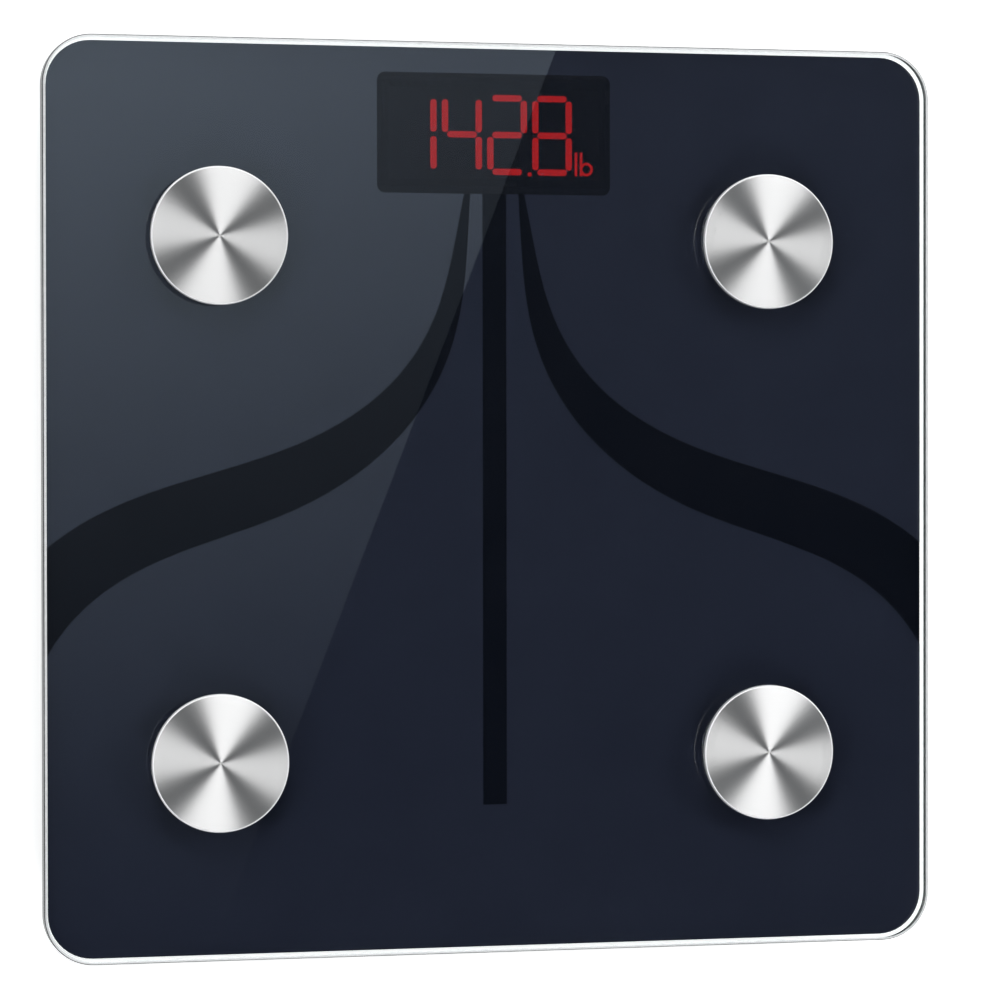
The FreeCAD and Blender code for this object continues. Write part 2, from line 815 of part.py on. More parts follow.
def makeBaseShell():
    shell = newBody("tray")
    subParts.remove(shell)
    outline = sketchOn(shell, "places.tray_z")
    roundedRectangle(outline, "places.tray_width", "places.tray_depth", "sizes.tray_radius")
    pad(shell, outline, "places.tray_top_z - places.tray_z")
    bevelEdges(shell, "sizes.tray_bevel", levelAt(placed("tray_z")))
    hollowTray(shell)
    addRibs(shell)
    addWells(shell)
    addBay(shell)
    addBosses(shell)
    pinBore = cylinder(
        "sizes.hinge_pin_dia + 2 * sizes.hinge_play",
        "places.door_width + 2 * (sizes.door_gap + sizes.hinge_pin_reach + sizes.hinge_play)",
        "-places.door_width / 2 - sizes.door_gap - sizes.hinge_pin_reach - sizes.hinge_play",
        "places.hinge_y",
        "places.hinge_z",
        axis=(1, 0, 0),
    )
    leadHoles = [
        cylinder(
            "sizes.lead_dia + 2 * sizes.hinge_play",
            "sizes.bay_wall",
            "-%d * places.cell_pitch" % end,
            "sizes.bay_y - %d * (sizes.bay_length / 2)" % end,
            "places.battery_z + sizes.plate_width / 4",
            axis=(0, -end, 0),
        )
        for end in (-1, 1)
    ]
    keep(cut(shell, pinBore, *leadHoles), "base_shell")


# Feet and load cells


def makeFeet():
    for name, (side, end) in CORNERS.items():
        spot = ("%d * places.foot_x" % side, "%d * places.foot_y" % end)
        cup = newBody("foot_cup_" + name)
        outer = "sizes.foot_dia / 2"
        inner = "sizes.foot_dia / 2 - sizes.foot_wall"
        recess = "sizes.pad_dia / 2 + sizes.pad_clearance"
        recessTop = "places.cup_z + sizes.pad_recess"
        pip = "sizes.pip_dia / 2"
        revolve(
            cup,
            [
                ("0", recessTop),
                (recess, recessTop),
                (recess, "places.cup_z"),
                (outer, "places.cup_z"),
                (outer, "places.flange_z"),
                (outer + " + sizes.foot_flange", "places.flange_z"),
                (outer + " + sizes.foot_flange", "places.cup_top_z"),
                (inner, "places.cup_top_z"),
                (inner, "places.cup_floor_z"),
                (pip, "places.cup_floor_z"),
                (pip, "places.cell_z"),
                ("0", "places.cell_z"),
            ],
        )
        moveTo(cup, *spot)
        rubber = newBody("foot_rubber_" + name)
        edge = "sizes.pad_dia / 2"
        revolve(
            rubber,
            [
                ("0", "0"),
                (edge + " - sizes.pad_bevel", "0"),
                (edge, "sizes.pad_bevel"),
                (edge, recessTop),
                ("0", recessTop),
            ],
        )
        moveTo(rubber, *spot)


def makeLoadCells():
    """Slotted steel plates: the foot bends the tongue while the ring round it stays against the tray."""
    for name, (side, end) in CORNERS.items():
        cell = newBody("load_cell_" + name)
        outline = sketchOn(cell)
        roundedRectangle(outline, "sizes.cell_width", "sizes.cell_width", "sizes.cell_corner")
        pad(cell, outline, "sizes.cell_thick")
        slots = sketchOn(cell)
        reach = "sizes.tongue_length + sizes.cell_slot"
        for flank in (-1, 1):
            rectangle(
                slots,
                "sizes.cell_slot",
                reach,
                "%d * (sizes.tongue_width + sizes.cell_slot) / 2" % flank,
                "-%d * sizes.cell_slot / 2" % end,
            )
        pocket(cell, slots, "sizes.cell_thick")
        tip = sketchOn(cell)
        rectangle(
            tip,
            "sizes.tongue_width + sizes.cell_slot",
            "sizes.cell_slot",
            "0",
            "-%d * (sizes.tongue_length + sizes.cell_slot) / 2" % end,
        )
        pocket(cell, tip, "sizes.cell_thick")
        moveTo(cell, "%d * places.foot_x" % side, "%d * places.foot_y" % end, "places.cell_z")
    dabs = [
        box(
            "sizes.dab_width",
            "sizes.dab_depth",
            "sizes.dab_thick",
            "%d * (places.foot_x - sizes.cell_width / 2 + sizes.dab_width)" % side,
            "%d * places.foot_y" % end,
            "places.cell_top_z",
        )
        for side, end in CORNERS.values()
    ]
    group("strain_gauge_dabs", dabs)


# Batteries and their door


def makeBatteries():
    for number, x in enumerate((-1, 0, 1), 1):
        up = -1 if x else 1
        battery = newBody("battery_%d" % number)
        can = "sizes.cell_dia / 2"
        nub = "sizes.nub_dia / 2"
        whole = "sizes.cell_length + sizes.nub_length"
        revolve(
            battery,
            [
                ("0", "0"),
                (can, "0"),
                (can, "sizes.cell_length"),
                (nub, "sizes.cell_length"),
                (nub, whole),
                ("0", whole),
            ],
        )
        battery.Placement.Rotation = FreeCAD.Rotation(Vector(0, 0, 1), Vector(0, -up, 0))
        start = "sizes.bay_y + %d * (sizes.bay_length / 2 - sizes.plate_thick - places.spring_length)" % up
        moveTo(battery, "%d * places.cell_pitch" % x, start, "places.battery_z")


def makeContacts():
    turns = 3
    steps = 8
    wire = size("spring_wire")
    coil = size("spring_radius")
    rise = placed("spring_length") - wire
    coilPoints = []
    for step in range(turns * steps + 1):
        angle = 2 * math.pi * step / steps
        coilPoints.append((coil * math.cos(angle), coil * math.sin(angle), rise * step / (turns * steps)))
    spring = tube(coilPoints, wire)
    springs = []
    for x in (-1, 0, 1):
        up = -1 if x else 1
        copy = spring.copy()
        outwards = Vector(0, -up, 0)
        end = size("bay_y") + up * (size("bay_length") / 2 - size("plate_thick") - wire / 2)
        spot = Vector(x * placed("cell_pitch"), end, placed("battery_z"))
        copy.Placement = FreeCAD.Placement(spot, FreeCAD.Rotation(Vector(0, 0, 1), outwards))
        springs.append(copy)
    shaped("battery_springs", Part.makeCompound(springs))
    # each end has one single plate and one that bridges two cells
    plates = []
    for up in (-1, 1):
        y = "sizes.bay_y + %d * (sizes.bay_length - sizes.plate_thick) / 2" % up
        low = "places.battery_z - sizes.plate_width / 2"
        single = "%d * places.cell_pitch" % up
        double = "-%d * places.cell_pitch / 2" % up
        plates.append(box("sizes.plate_width", "sizes.plate_thick", "sizes.plate_width", single, y, low))
        wide = "sizes.plate_width + places.cell_pitch"
        plates.append(box(wide, "sizes.plate_thick", "sizes.plate_width", double, y, low))
    group("battery_plates", plates)


def makeDoor():
    """A flush door whose hinge end is a full round about the hinge axis."""
    length = "places.door_length - sizes.door_thick / 2"
    door = box(
        "places.door_width",
        length,
        "sizes.door_thick",
        "0",
        "places.hinge_y + (%s) / 2" % length,
        "places.tray_z",
    )
    knuckle = cylinder(
        "sizes.door_thick",
        "places.door_width",
        "-places.door_width / 2",
        "places.hinge_y",
        "places.hinge_z",
        axis=(1, 0, 0),
    )
    pin = cylinder(
        "sizes.hinge_pin_dia",
        "places.door_width + 2 * sizes.hinge_pin_reach",
        "-places.door_width / 2 - sizes.hinge_pin_reach",
        "places.hinge_y",
        "places.hinge_z",
        axis=(1, 0, 0),
    )
    lug = box(
        "sizes.latch_width",
        "sizes.latch_wall",
        "sizes.latch_rise",
        "0",
        "places.latch_y + sizes.latch_wall / 2",
        "places.tray_z + sizes.door_thick",
    )
    hook = box(
        "sizes.latch_width",
        "sizes.latch_reach",
        "sizes.latch_hook",
        "0",
        "places.latch_y + sizes.latch_wall + sizes.latch_reach / 2",
        "places.tray_z + sizes.door_thick + sizes.latch_rise - sizes.latch_hook",
    )
    keep(fuse(door, knuckle, pin, lug, hook), "battery_door")


# Board, display and button


def makeBoard():
    board = newBody("main_board")
    outline = sketchOn(board, "places.board_z")
    rectangle(outline, "sizes.board_width", "sizes.board_depth", "0", "places.board_y")
    pad(board, outline, "sizes.board_thick")
    holes = sketchOn(board, "places.board_z")
    screws = []
    for side, end in CORNERS.values():
        spot = ("%d * places.screw_x" % side, "places.board_y + %d * places.screw_y" % end)
        circle(holes, "sizes.screw_dia + 2 * sizes.button_play", *spot)
        head = cylinder("sizes.screw_head_dia", "sizes.screw_head_thick", *spot, "places.board_top_z")
        shank = cylinder(
            "sizes.screw_dia", "sizes.screw_length", *spot, "places.board_top_z - sizes.screw_length"
        )
        screws.append(fuse(head, shank))
    pocket(board, holes, "sizes.board_thick")
    group("board_screws", screws)


# Chips on the board: width, depth, height, then x and the distance in from the board's low edge.
CHIPS = [
    (11, 5.5, 1.6, 10, 9),
    (9, 4, 1.4, -9, 8.5),
    (3, 3, 1.2, -21, 9),
    (4, 2, 0.9, 24, 8.5),
    (2, 1.4, 0.9, 1, 9),
]

# Sockets on the board: x and width.
SOCKETS = {
    "toe_left": (-27, 6),
    "heel_left": (-18.5, 6),
    "electrodes": (-8, 8),
    "batteries": (2, 5),
    "heel_right": (18.5, 6),
    "toe_right": (27, 6),
}


def makeBoardParts():
    group(
        "board_chips",
        [
            box(width, depth, height, x, "places.board_low_y + %s" % inward, "places.board_top_z")
            for width, depth, height, x, inward in CHIPS
        ],
    )
    group(
        "wire_sockets",
        [
            box(
                width,
                "sizes.socket_depth",
                "sizes.socket_height",
                x,
                "places.socket_y + sizes.socket_depth / 2",
                "places.board_top_z",
            )
            for x, width in SOCKETS.values()
        ],
    )


def makeDisplay():
    housing = newBody("display_housing")
    outline = sketchOn(housing, "places.board_top_z")
    rectangle(outline, "sizes.housing_width", "sizes.housing_depth", "0", "places.window_y")
    pad(housing, outline, "places.housing_top_z - places.board_top_z")
    gasket = newBody("display_gasket")
    outline = sketchOn(gasket, "places.housing_top_z")
    rectangle(outline, "sizes.housing_width", "sizes.housing_depth", "0", "places.window_y")
    pad(gasket, outline, "sizes.foam_thick")
    middle = sketchOn(gasket, "places.housing_top_z")
    rectangle(
        middle,
        "sizes.housing_width - 2 * sizes.foam_width",
        "sizes.housing_depth - 2 * sizes.foam_width",
        "0",
        "places.window_y",
    )
    pocket(gasket, middle, "sizes.foam_thick")


# A digit's segments: share of half the digit's width, share of half its height, and whether it stands.
SEGMENTS = {
    "a": (0, 1, False),
    "b": (1, 0.5, True),
    "c": (1, -0.5, True),
    "d": (0, -1, False),
    "e": (-1, -0.5, True),
    "f": (-1, 0.5, True),
    "g": (0, 0, False),
}
LIT = ["bc", "bcfg", "abdeg", "abcdefg"]
UNLIT = ["", "ade", "cf", ""]


def roundedBlock(width, depth, x, y):
    block = box(width, depth, "sizes.segment_thick", x, y, "places.housing_top_z")
    doc.recompute()
    rounded = doc.addObject("Part::Fillet", "segment")
    rounded.Base = block
    radius = 0.45 * min(block.Length.Value, block.Width.Value)
    rounded.Edges = [
        (n, radius, radius) for n, edge in enumerate(block.Shape.Edges, 1) if upright(edge)
    ]
    return rounded


def segment(place, letter):
    across, along, stands = SEGMENTS[letter]
    x = "sizes.digits_x + %s * sizes.digit_pitch + %s * sizes.digit_width / 2" % (place - 2, across)
    y = "places.digits_y + %s * sizes.digit_height / 2" % along
    if stands:
        return roundedBlock("sizes.segment_width", "sizes.digit_height / 2 - sizes.segment_gap", x, y)
    return roundedBlock("sizes.digit_width - sizes.segment_gap", "sizes.segment_width", x, y)


def decimalPoint(place):
    x = "sizes.digits_x + %s * sizes.digit_pitch" % (place - 1.5)
    y = "places.digits_y - sizes.digit_height / 2 - sizes.point_width / 2"
    return roundedBlock("sizes.point_width", "sizes.point_width", x, y)


def unitLetters():
    low = "places.digits_y - (sizes.digit_height + sizes.segment_width) / 2"
    middle = "%s + sizes.letter_height / 2" % low
    gap = "sizes.letters_x + 2 * sizes.letter_width"
    bowl = ("%s + (sizes.letter_bowl - sizes.letter_width) / 2" % gap, "%s + sizes.letter_bowl / 2" % low)
    letter = ("sizes.letter_width", "sizes.letter_height", "sizes.segment_thick")
    firstStem = box(*letter, "sizes.letters_x", middle)
    stem = box("sizes.letter_width", "sizes.letter_height", "sizes.segment_thick", gap, middle)
    ring = cylinder("sizes.letter_bowl", "sizes.segment_thick", *bowl)
    hole = cylinder("sizes.letter_bowl - 2 * sizes.letter_width", "sizes.segment_thick", *bowl)
    letters = [firstStem, fuse(stem, cut(ring, hole))]
    for piece in (firstStem, stem, ring, hole):
        bind(piece, Placement__Base__z="places.housing_top_z")
    return letters


def makeSegments():
    lit = [segment(place, letter) for place, letters in enumerate(LIT) for letter in letters]
    group("display_digits", lit + [decimalPoint(2)] + unitLetters())
    unlit = [segment(place, letter) for place, letters in enumerate(UNLIT) for letter in letters]
    group("display_segments_off", unlit + [decimalPoint(1)])


def makeButton():
    button = newBody("unit_button")
    cap = "sizes.button_dia / 2"
    flange = cap + " + sizes.button_flange"
    low = "places.tray_z + sizes.button_recess"
    shoulder = "places.button_top_z - sizes.button_flange_thick"
    revolve(
        button,
        [
            ("0", low),
            (cap, low),
            (cap, shoulder),
            (flange, shoulder),
            (flange, "places.button_top_z"),
            ("0", "places.button_top_z"),
        ],
    )
    spot = ("sizes.button_x", "places.button_y")
    moveTo(button, *spot)
    case = box("sizes.switch_width", "sizes.switch_width", "sizes.switch_height", *spot, "places.switch_z")
    bore = cylinder(
        "sizes.plunger_dia + 2 * sizes.plunger_play",
        "sizes.plunger_deep + sizes.plunger_room",
        *spot,
        "places.switch_z",
    )
    keep(cut(case, bore), "unit_switch")
    plunger = cylinder(
        "sizes.plunger_dia", "sizes.plunger_rise + sizes.plunger_deep", *spot, "places.button_top_z"
    )
    keep(plunger, "switch_plunger")


# Leads inside the tray


def beside(points, offset):
    """The same route, moved sideways by offset."""
    flat = [Vector(x, y, 0) for x, y, z in points]
    ways = [(after - before).normalize() for before, after in zip(flat, flat[1:])]
    ways = [ways[0]] + ways + [ways[-1]]
    moved = []
    for point, come, go in zip(points, ways, ways[1:]):
        bisector = (come + go).normalize()
        normal = Vector(-bisector.y, bisector.x, 0)
        moved.append(tuple(Vector(*point) + normal * (offset / bisector.dot(come))))
    return moved


def socketEnd(name, across=0, rise=-0.8):
    """The last, level run into a socket. The electrode leads enter above the others."""
    x = SOCKETS[name][0] + across
    z = placed("socket_z") + rise
    low = placed("socket_y")
    return [(x, low - 11, z), (x, low, z)]


def makeCellLeads():
    footX = placed("foot_x")
    footY = placed("foot_y")
    low = placed("board_low_y")
    wellZ = placed("cell_top_z") + size("ledge_rise") / 2
    start = footX - size("cell_width") / 2 + size("dab_width") / 2
    leave = footX - placed("well_outer") / 2 - 8
    routes = {
        "toe": [
            (start, footY, wellZ),
            (leave, footY, wellZ),
            (0.53 * footX, low - 4, wellZ),
            (37, low - 14, 12.5),
        ],
        "heel": [
            (start, -footY, wellZ),
            (leave, -footY, wellZ),
            (0.53 * footX, -0.7 * footY, wellZ),
            (0.47 * footX, -0.2 * footY, wellZ),
            (0.41 * footX, low - 50, 11),
            (23, low - 22, 12.4),
        ],
    }
    for name, (side, end) in CORNERS.items():
        route = [(side * x, y, z) for x, y, z in routes[name.split("_")[0]]] + socketEnd(name)
        wires = [
            tube(beside(route, step * size("lead_pitch")), size("lead_dia")) for step in (-1, 0, 1)
        ]
        shaped("load_cell_leads_" + name, Part.makeCompound(wires))


def makeElectrodeLeads():
    low = placed("board_low_y")
    reach = placed("electrode_x") - size("terminal_reach")
    ey = placed("electrode_y")
    z = placed("black_z") - size("barrel_dia") / 2
    routes = {
        "toe": [(reach, ey, z), (reach - 12, ey, z), (45, low - 12, 16.8)],
        "heel": [
            (reach, -ey, z),
            (reach - 12, -ey, z),
            (0.45 * reach + 6, -0.6 * ey, 15),
            (31, 0, 15),
            (27, low - 42, 15.6),
        ],
    }
    lastBends = {"toe_left": -22, "toe_right": 16, "heel_left": -12, "heel_right": 5}
    across = {"toe_left": -2.25, "heel_left": -0.75, "heel_right": 0.75, "toe_right": 2.25}
    for name, (side, end) in CORNERS.items():
        corner = name.split("_")[0]
        route = [(side * x, y, height) for x, y, height in routes[corner]]
        bendY = low - (17 if corner == "toe" else 20)
        route.append((lastBends[name], bendY, 16.8))
        route += socketEnd("electrodes", across[name], 1)
        shaped("electrode_lead_" + name, tube(route, size("electrode_lead_dia")))


def makeBatteryLeads():
    low = placed("board_low_y")
    x = placed("cell_pitch")
    z = placed("battery_z") + size("plate_width") / 4
    front = placed("bay_end_y")
    back = placed("bay_start_y")
    flank = placed("bay_width") / 2 + size("bay_wall") + 4.5
    near = [(x, front, z), (x, front + 10, z), (4, low - 30, z - 0.4)] + socketEnd("batteries", 0.8)
    far = [
        (-x, back, z),
        (-x, back - 8, z),
        (-flank, back - 8, z),
        (-flank, front, z),
        (-8, low - 30, z),
    ] + socketEnd("batteries", -0.8)
    leads = [tube(route, size("lead_dia")) for route in (near, far)]
    shaped("battery_leads", Part.makeCompound(leads))


makeGlass()
makePrint()
makeElectrodes()
makeTape()
makeBaseShell()
makeFeet()
makeLoadCells()
makeBatteries()
makeContacts()
makeDoor()
makeBoard()
makeBoardParts()
makeDisplay()
makeSegments()
makeButton()
makeCellLeads()
makeElectrodeLeads()
makeBatteryLeads()
doc.recompute()
print("wire bend radii, mm:", sorted(round(radius, 1) for radius in bendRadii))

for thing in doc.Objects:
    if "Invalid" in thing.State or "Error" in thing.State:
        raise ValueError(thing.Name + " failed to recompute")
    if thing.TypeId == "PartDesign::Pocket" and thing.Shape.Volume > thing.BaseFeature.Shape.Volume - 1e-3:
        raise ValueError(thing.Name + " cuts nothing")
for piece in subParts:
    if piece.Shape.isNull() or not piece.Shape.isValid():
        raise ValueError(piece.Label + " has no valid shape")

os.makedirs("parts", exist_ok=True)
for piece in subParts:
    piece.Shape.exportStep("parts/%s.step" % piece.Label)
print(len(subParts), "sub-parts written")
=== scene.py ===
import bpy
import math
from mathutils import Matrix, Vector


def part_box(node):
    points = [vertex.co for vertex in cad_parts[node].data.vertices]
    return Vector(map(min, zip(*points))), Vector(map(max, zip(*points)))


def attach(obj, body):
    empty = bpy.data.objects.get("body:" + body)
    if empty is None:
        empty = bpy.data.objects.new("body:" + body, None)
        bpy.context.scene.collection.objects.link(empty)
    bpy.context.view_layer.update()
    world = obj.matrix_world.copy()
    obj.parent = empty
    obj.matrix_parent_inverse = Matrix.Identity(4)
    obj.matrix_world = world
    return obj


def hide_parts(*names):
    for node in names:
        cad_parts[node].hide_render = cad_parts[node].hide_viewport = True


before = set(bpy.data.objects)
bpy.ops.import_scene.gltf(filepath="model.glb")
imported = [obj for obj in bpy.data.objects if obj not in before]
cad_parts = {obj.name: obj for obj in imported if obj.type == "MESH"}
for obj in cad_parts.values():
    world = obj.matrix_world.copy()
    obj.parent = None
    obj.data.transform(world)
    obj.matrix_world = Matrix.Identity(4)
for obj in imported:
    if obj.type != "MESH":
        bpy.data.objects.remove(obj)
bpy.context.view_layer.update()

millimetre = 0.001
tiny = 1e-6
corners = ("toe_left", "toe_right", "heel_left", "heel_right")


# small helpers for modelling by hand

def selectNone():
    if bpy.context.mode != "OBJECT":
        bpy.ops.object.mode_set(mode="OBJECT")
    bpy.ops.object.select_all(action="DESELECT")


def activate(piece):
    selectNone()
    piece.select_set(True)
    bpy.context.view_layer.objects.active = piece


def settle(piece, name):
    # puts a finished piece's place into its mesh
    activate(piece)
    bpy.ops.object.transform_apply(location=True, rotation=True, scale=True)
    piece.name = name
    piece.data.name = name
    return piece


def pickEdges(piece, test):
    # selects the edges whose two ends pass the test, with edit mode left on
    activate(piece)
    bpy.ops.object.mode_set(mode="EDIT")
    bpy.ops.mesh.select_mode(type="EDGE")
    bpy.ops.mesh.select_all(action="DESELECT")
    bpy.ops.object.mode_set(mode="OBJECT")
    place = piece.matrix_world
    for edge in piece.data.edges:
        a, b = (place @ piece.data.vertices[v].co for v in edge.vertices)
        edge.select = bool(test(a, b))
    bpy.ops.object.mode_set(mode="EDIT")


def pickFaces(piece, test):
    # selects the faces whose centre and normal pass the test, with edit mode left on
    activate(piece)
    bpy.ops.object.mode_set(mode="EDIT")
    bpy.ops.mesh.select_mode(type="FACE")
    bpy.ops.mesh.select_all(action="DESELECT")
    bpy.ops.object.mode_set(mode="OBJECT")
    place = piece.matrix_world
    for face in piece.data.polygons:
        face.select = bool(test(place @ face.center, face.normal))
    bpy.ops.object.mode_set(mode="EDIT")


def leaveEdit():
    bpy.ops.object.mode_set(mode="OBJECT")


def bevelPicked(offset, segments, profile=0.5):
    bpy.ops.mesh.bevel(offset=offset, offset_type="OFFSET", segments=segments, profile=profile)
    leaveEdit()


def addBlock(low, high):
    selectNone()
    centre = (Vector(low) + Vector(high)) / 2
    bpy.ops.mesh.primitive_cube_add(size=1, location=centre, scale=Vector(high) - Vector(low))
    block = bpy.context.object
    bpy.ops.object.transform_apply(location=False, rotation=False, scale=True)
    return block


def addDisc(centre, radius, lowZ, highZ, sides=96):
    selectNone()
    place = (centre[0], centre[1], (lowZ + highZ) / 2)
    bpy.ops.mesh.primitive_cylinder_add(
        vertices=sides, radius=radius, depth=highZ - lowZ, location=place, end_fill_type="NGON"
    )
    return bpy.context.object


def smooth(piece, degrees=35):
    # smooth over the bevels, with the flat faces kept truly flat
    activate(piece)
    bpy.ops.object.shade_smooth_by_angle(angle=math.radians(degrees))
    even = piece.modifiers.new("even", "WEIGHTED_NORMAL")
    even.keep_sharp = True
    even.weight = 100
    bpy.ops.object.modifier_apply(modifier=even.name)


def cutAway(piece, cutter):
    activate(piece)
    cut = piece.modifiers.new("hole", "BOOLEAN")
    cut.operation = "DIFFERENCE"
    cut.solver = "EXACT"
    cut.object = cutter
    bpy.ops.object.modifier_apply(modifier=cut.name)
    bpy.data.objects.remove(cutter)


# small helpers for materials; a noise hardly leaves these two values

noiseLow = 0.3
noiseHigh = 0.7


def newMaterial(name):
    material = bpy.data.materials.new(name)
    material.use_nodes = True
    nodes = material.node_tree.nodes
    return material, nodes, material.node_tree.links, nodes["Principled BSDF"]


def colourOf(red, green, blue):
    return (red, green, blue, 1)


def noiseOf(nodes, links, scale, detail=3, stretch=(1, 1, 1)):
    # noise in the object's own metres
    place = nodes.new("ShaderNodeTexCoord")
    mapping = nodes.new("ShaderNodeMapping")
    mapping.inputs["Scale"].default_value = stretch
    noise = nodes.new("ShaderNodeTexNoise")
    noise.inputs["Scale"].default_value = scale
    noise.inputs["Detail"].default_value = detail
    links.new(place.outputs["Object"], mapping.inputs["Vector"])
    links.new(mapping.outputs["Vector"], noise.inputs["Vector"])
    return noise


def scaled(nodes, links, source, low, high, bottom, top):
    # maps low to high onto bottom to top, and holds still outside them
    ramp = nodes.new("ShaderNodeMapRange")
    ramp.inputs["From Min"].default_value = low
    ramp.inputs["From Max"].default_value = high
    ramp.inputs["To Min"].default_value = bottom
    ramp.inputs["To Max"].default_value = top
    links.new(source, ramp.inputs["Value"])
    return ramp.outputs["Result"]


def spreadOf(nodes, links, source, low, high):
    # maps a noise onto a small range of values
    return scaled(nodes, links, source, noiseLow, noiseHigh, low, high)


def tintOf(nodes, links, source, dark, light):
    ramp = nodes.new("ShaderNodeValToRGB")
    for element, place, colour in zip(ramp.color_ramp.elements, (noiseLow, noiseHigh), (dark, light)):
        element.position = place
        element.color = colour
    links.new(source, ramp.inputs["Fac"])
    return ramp.outputs["Color"]


def bumpOf(nodes, links, source, strength, height):
    bump = nodes.new("ShaderNodeBump")
    bump.inputs["Strength"].default_value = strength
    bump.inputs["Distance"].default_value = height
    links.new(source, bump.inputs["Height"])
    return bump.outputs["Normal"]


def joined(nodes, links, operation, first, second):
    both = nodes.new("ShaderNodeMath")
    both.operation = operation
    for socket, value in zip(both.inputs, (first, second)):
        if isinstance(value, float):
            socket.default_value = value
        else:
            links.new(value, socket)
    return both.outputs["Value"]


def mixed(nodes, links, share, first, second):
    mix = nodes.new("ShaderNodeMixShader")
    if isinstance(share, float):
        mix.inputs["Fac"].default_value = share
    else:
        links.new(share, mix.inputs["Fac"])
    links.new(first, mix.inputs[1])
    links.new(second, mix.inputs[2])
    return mix.outputs["Shader"]


def mouldedPlastic(name, dark, light, rough, grain, depth, specular=0.45):
    # a moulded surface: fine spark-eroded grain, slight blotches of shine
    material, nodes, links, shader = newMaterial(name)
    fine = noiseOf(nodes, links, grain, 4)
    broad = noiseOf(nodes, links, grain / 60, 2)
    links.new(tintOf(nodes, links, broad.outputs["Fac"], dark, light), shader.inputs["Base Color"])
    shine = spreadOf(nodes, links, fine.outputs["Fac"], rough - 0.06, rough + 0.08)
    links.new(shine, shader.inputs["Roughness"])
    links.new(bumpOf(nodes, links, fine.outputs["Fac"], 0.6, depth), shader.inputs["Normal"])
    shader.inputs["Specular IOR Level"].default_value = specular
    return material


def platedMetal(name, dark, light, rough, scratch):
    # a drawn or plated metal with fine streaks along one way
    material, nodes, links, shader = newMaterial(name)
    streaks = noiseOf(nodes, links, scratch, 3, (1, 0.06, 1))
    links.new(tintOf(nodes, links, streaks.outputs["Fac"], dark, light), shader.inputs["Base Color"])
    shine = spreadOf(nodes, links, streaks.outputs["Fac"], rough - 0.05, rough + 0.1)
    links.new(shine, shader.inputs["Roughness"])
    links.new(bumpOf(nodes, links, streaks.outputs["Fac"], 0.15, 0.02 * millimetre), shader.inputs["Normal"])
    shader.inputs["Metallic"].default_value = 1
    return material


# ink under the glass: a flat body colour with very faint mottling, seen through the plate above it

inkLook = {
    "navyDark": colourOf(0.0112, 0.0136, 0.0236),
    "navyLight": colourOf(0.0122, 0.0148, 0.0254),
    "blackDark": colourOf(0.0026, 0.0034, 0.0060),
    "blackLight": colourOf(0.0032, 0.0040, 0.0068),
    "mottle": 45,
}


def inkMaterial(name, dark, light, shine):
    material, nodes, links, shader = newMaterial(name)
    cloud = noiseOf(nodes, links, inkLook["mottle"], 2)
    links.new(tintOf(nodes, links, cloud.outputs["Fac"], dark, light), shader.inputs["Base Color"])
    links.new(spreadOf(nodes, links, cloud.outputs["Fac"], 0.0, 0.004), shader.inputs["Roughness"])
    shader.inputs["Specular IOR Level"].default_value = shine
    return material


# the navy ink has a lustre of its own, the black ink is matt
navyInk = inkMaterial("navyInk", inkLook["navyDark"], inkLook["navyLight"], 0.5)
blackInk = inkMaterial("blackInk", inkLook["blackDark"], inkLook["blackLight"], 0)


# toughened glass: clear, polished on its faces and finely ground on its edge; its upright wall carries
# painted shade

glassLook = {
    "index": 1.5,
    "tint": colourOf(0.985, 1.0, 0.995),
    "shadowTint": colourOf(0.92, 0.94, 0.93),
    # the chamfers' ground part, given by how far its faces lean from upright
    "groundFrom": 0.7,
    "groundTo": 0.985,
    "groundSoft": (0.05, 0.01),
    "frost": colourOf(0.90, 0.91, 0.92),
    "frostScatter": 0.6,
    "frostShare": (0.8, 0.92),
    "grit": 600,
    # the edge below it, given a near-black colour: painted shade in place of the dark surroundings the clear
    # glass wall would mirror
    "wallFrom": 0.68,
    "wallTo": 0.6,
    "wall": colourOf(0.010, 0.014, 0.015),
    "wallRough": 0.2,
    "wallSpecular": 0.05,
    "wallShare": 0.93,
}


def bandOf(nodes, links, source, low, high):
    # one between two values, falling to nothing outside them
    below, above = glassLook["groundSoft"]
    rise = scaled(nodes, links, source, low - below, low, 0, 1)
    fall = scaled(nodes, links, source, high + above, high, 0, 1)
    return joined(nodes, links, "MULTIPLY", rise, fall)


def groundGlass(nodes, links):
    # a white powdery surface that also lets light through
    frost = nodes.new("ShaderNodeBsdfTranslucent")
    frost.inputs["Color"].default_value = glassLook["frost"]
    scatter = nodes.new("ShaderNodeBsdfDiffuse")
    scatter.inputs["Color"].default_value = glassLook["frost"]
    return mixed(nodes, links, glassLook["frostScatter"], frost.outputs["BSDF"], scatter.outputs["BSDF"])


def paintedDarkEdge(nodes, links):
    # a near-black opaque surface: painted shade on the glass's upright edge
    wall = nodes.new("ShaderNodeBsdfPrincipled")
    wall.inputs["Base Color"].default_value = glassLook["wall"]
    wall.inputs["Roughness"].default_value = glassLook["wallRough"]
    wall.inputs["Specular IOR Level"].default_value = glassLook["wallSpecular"]
    return wall.outputs["BSDF"]


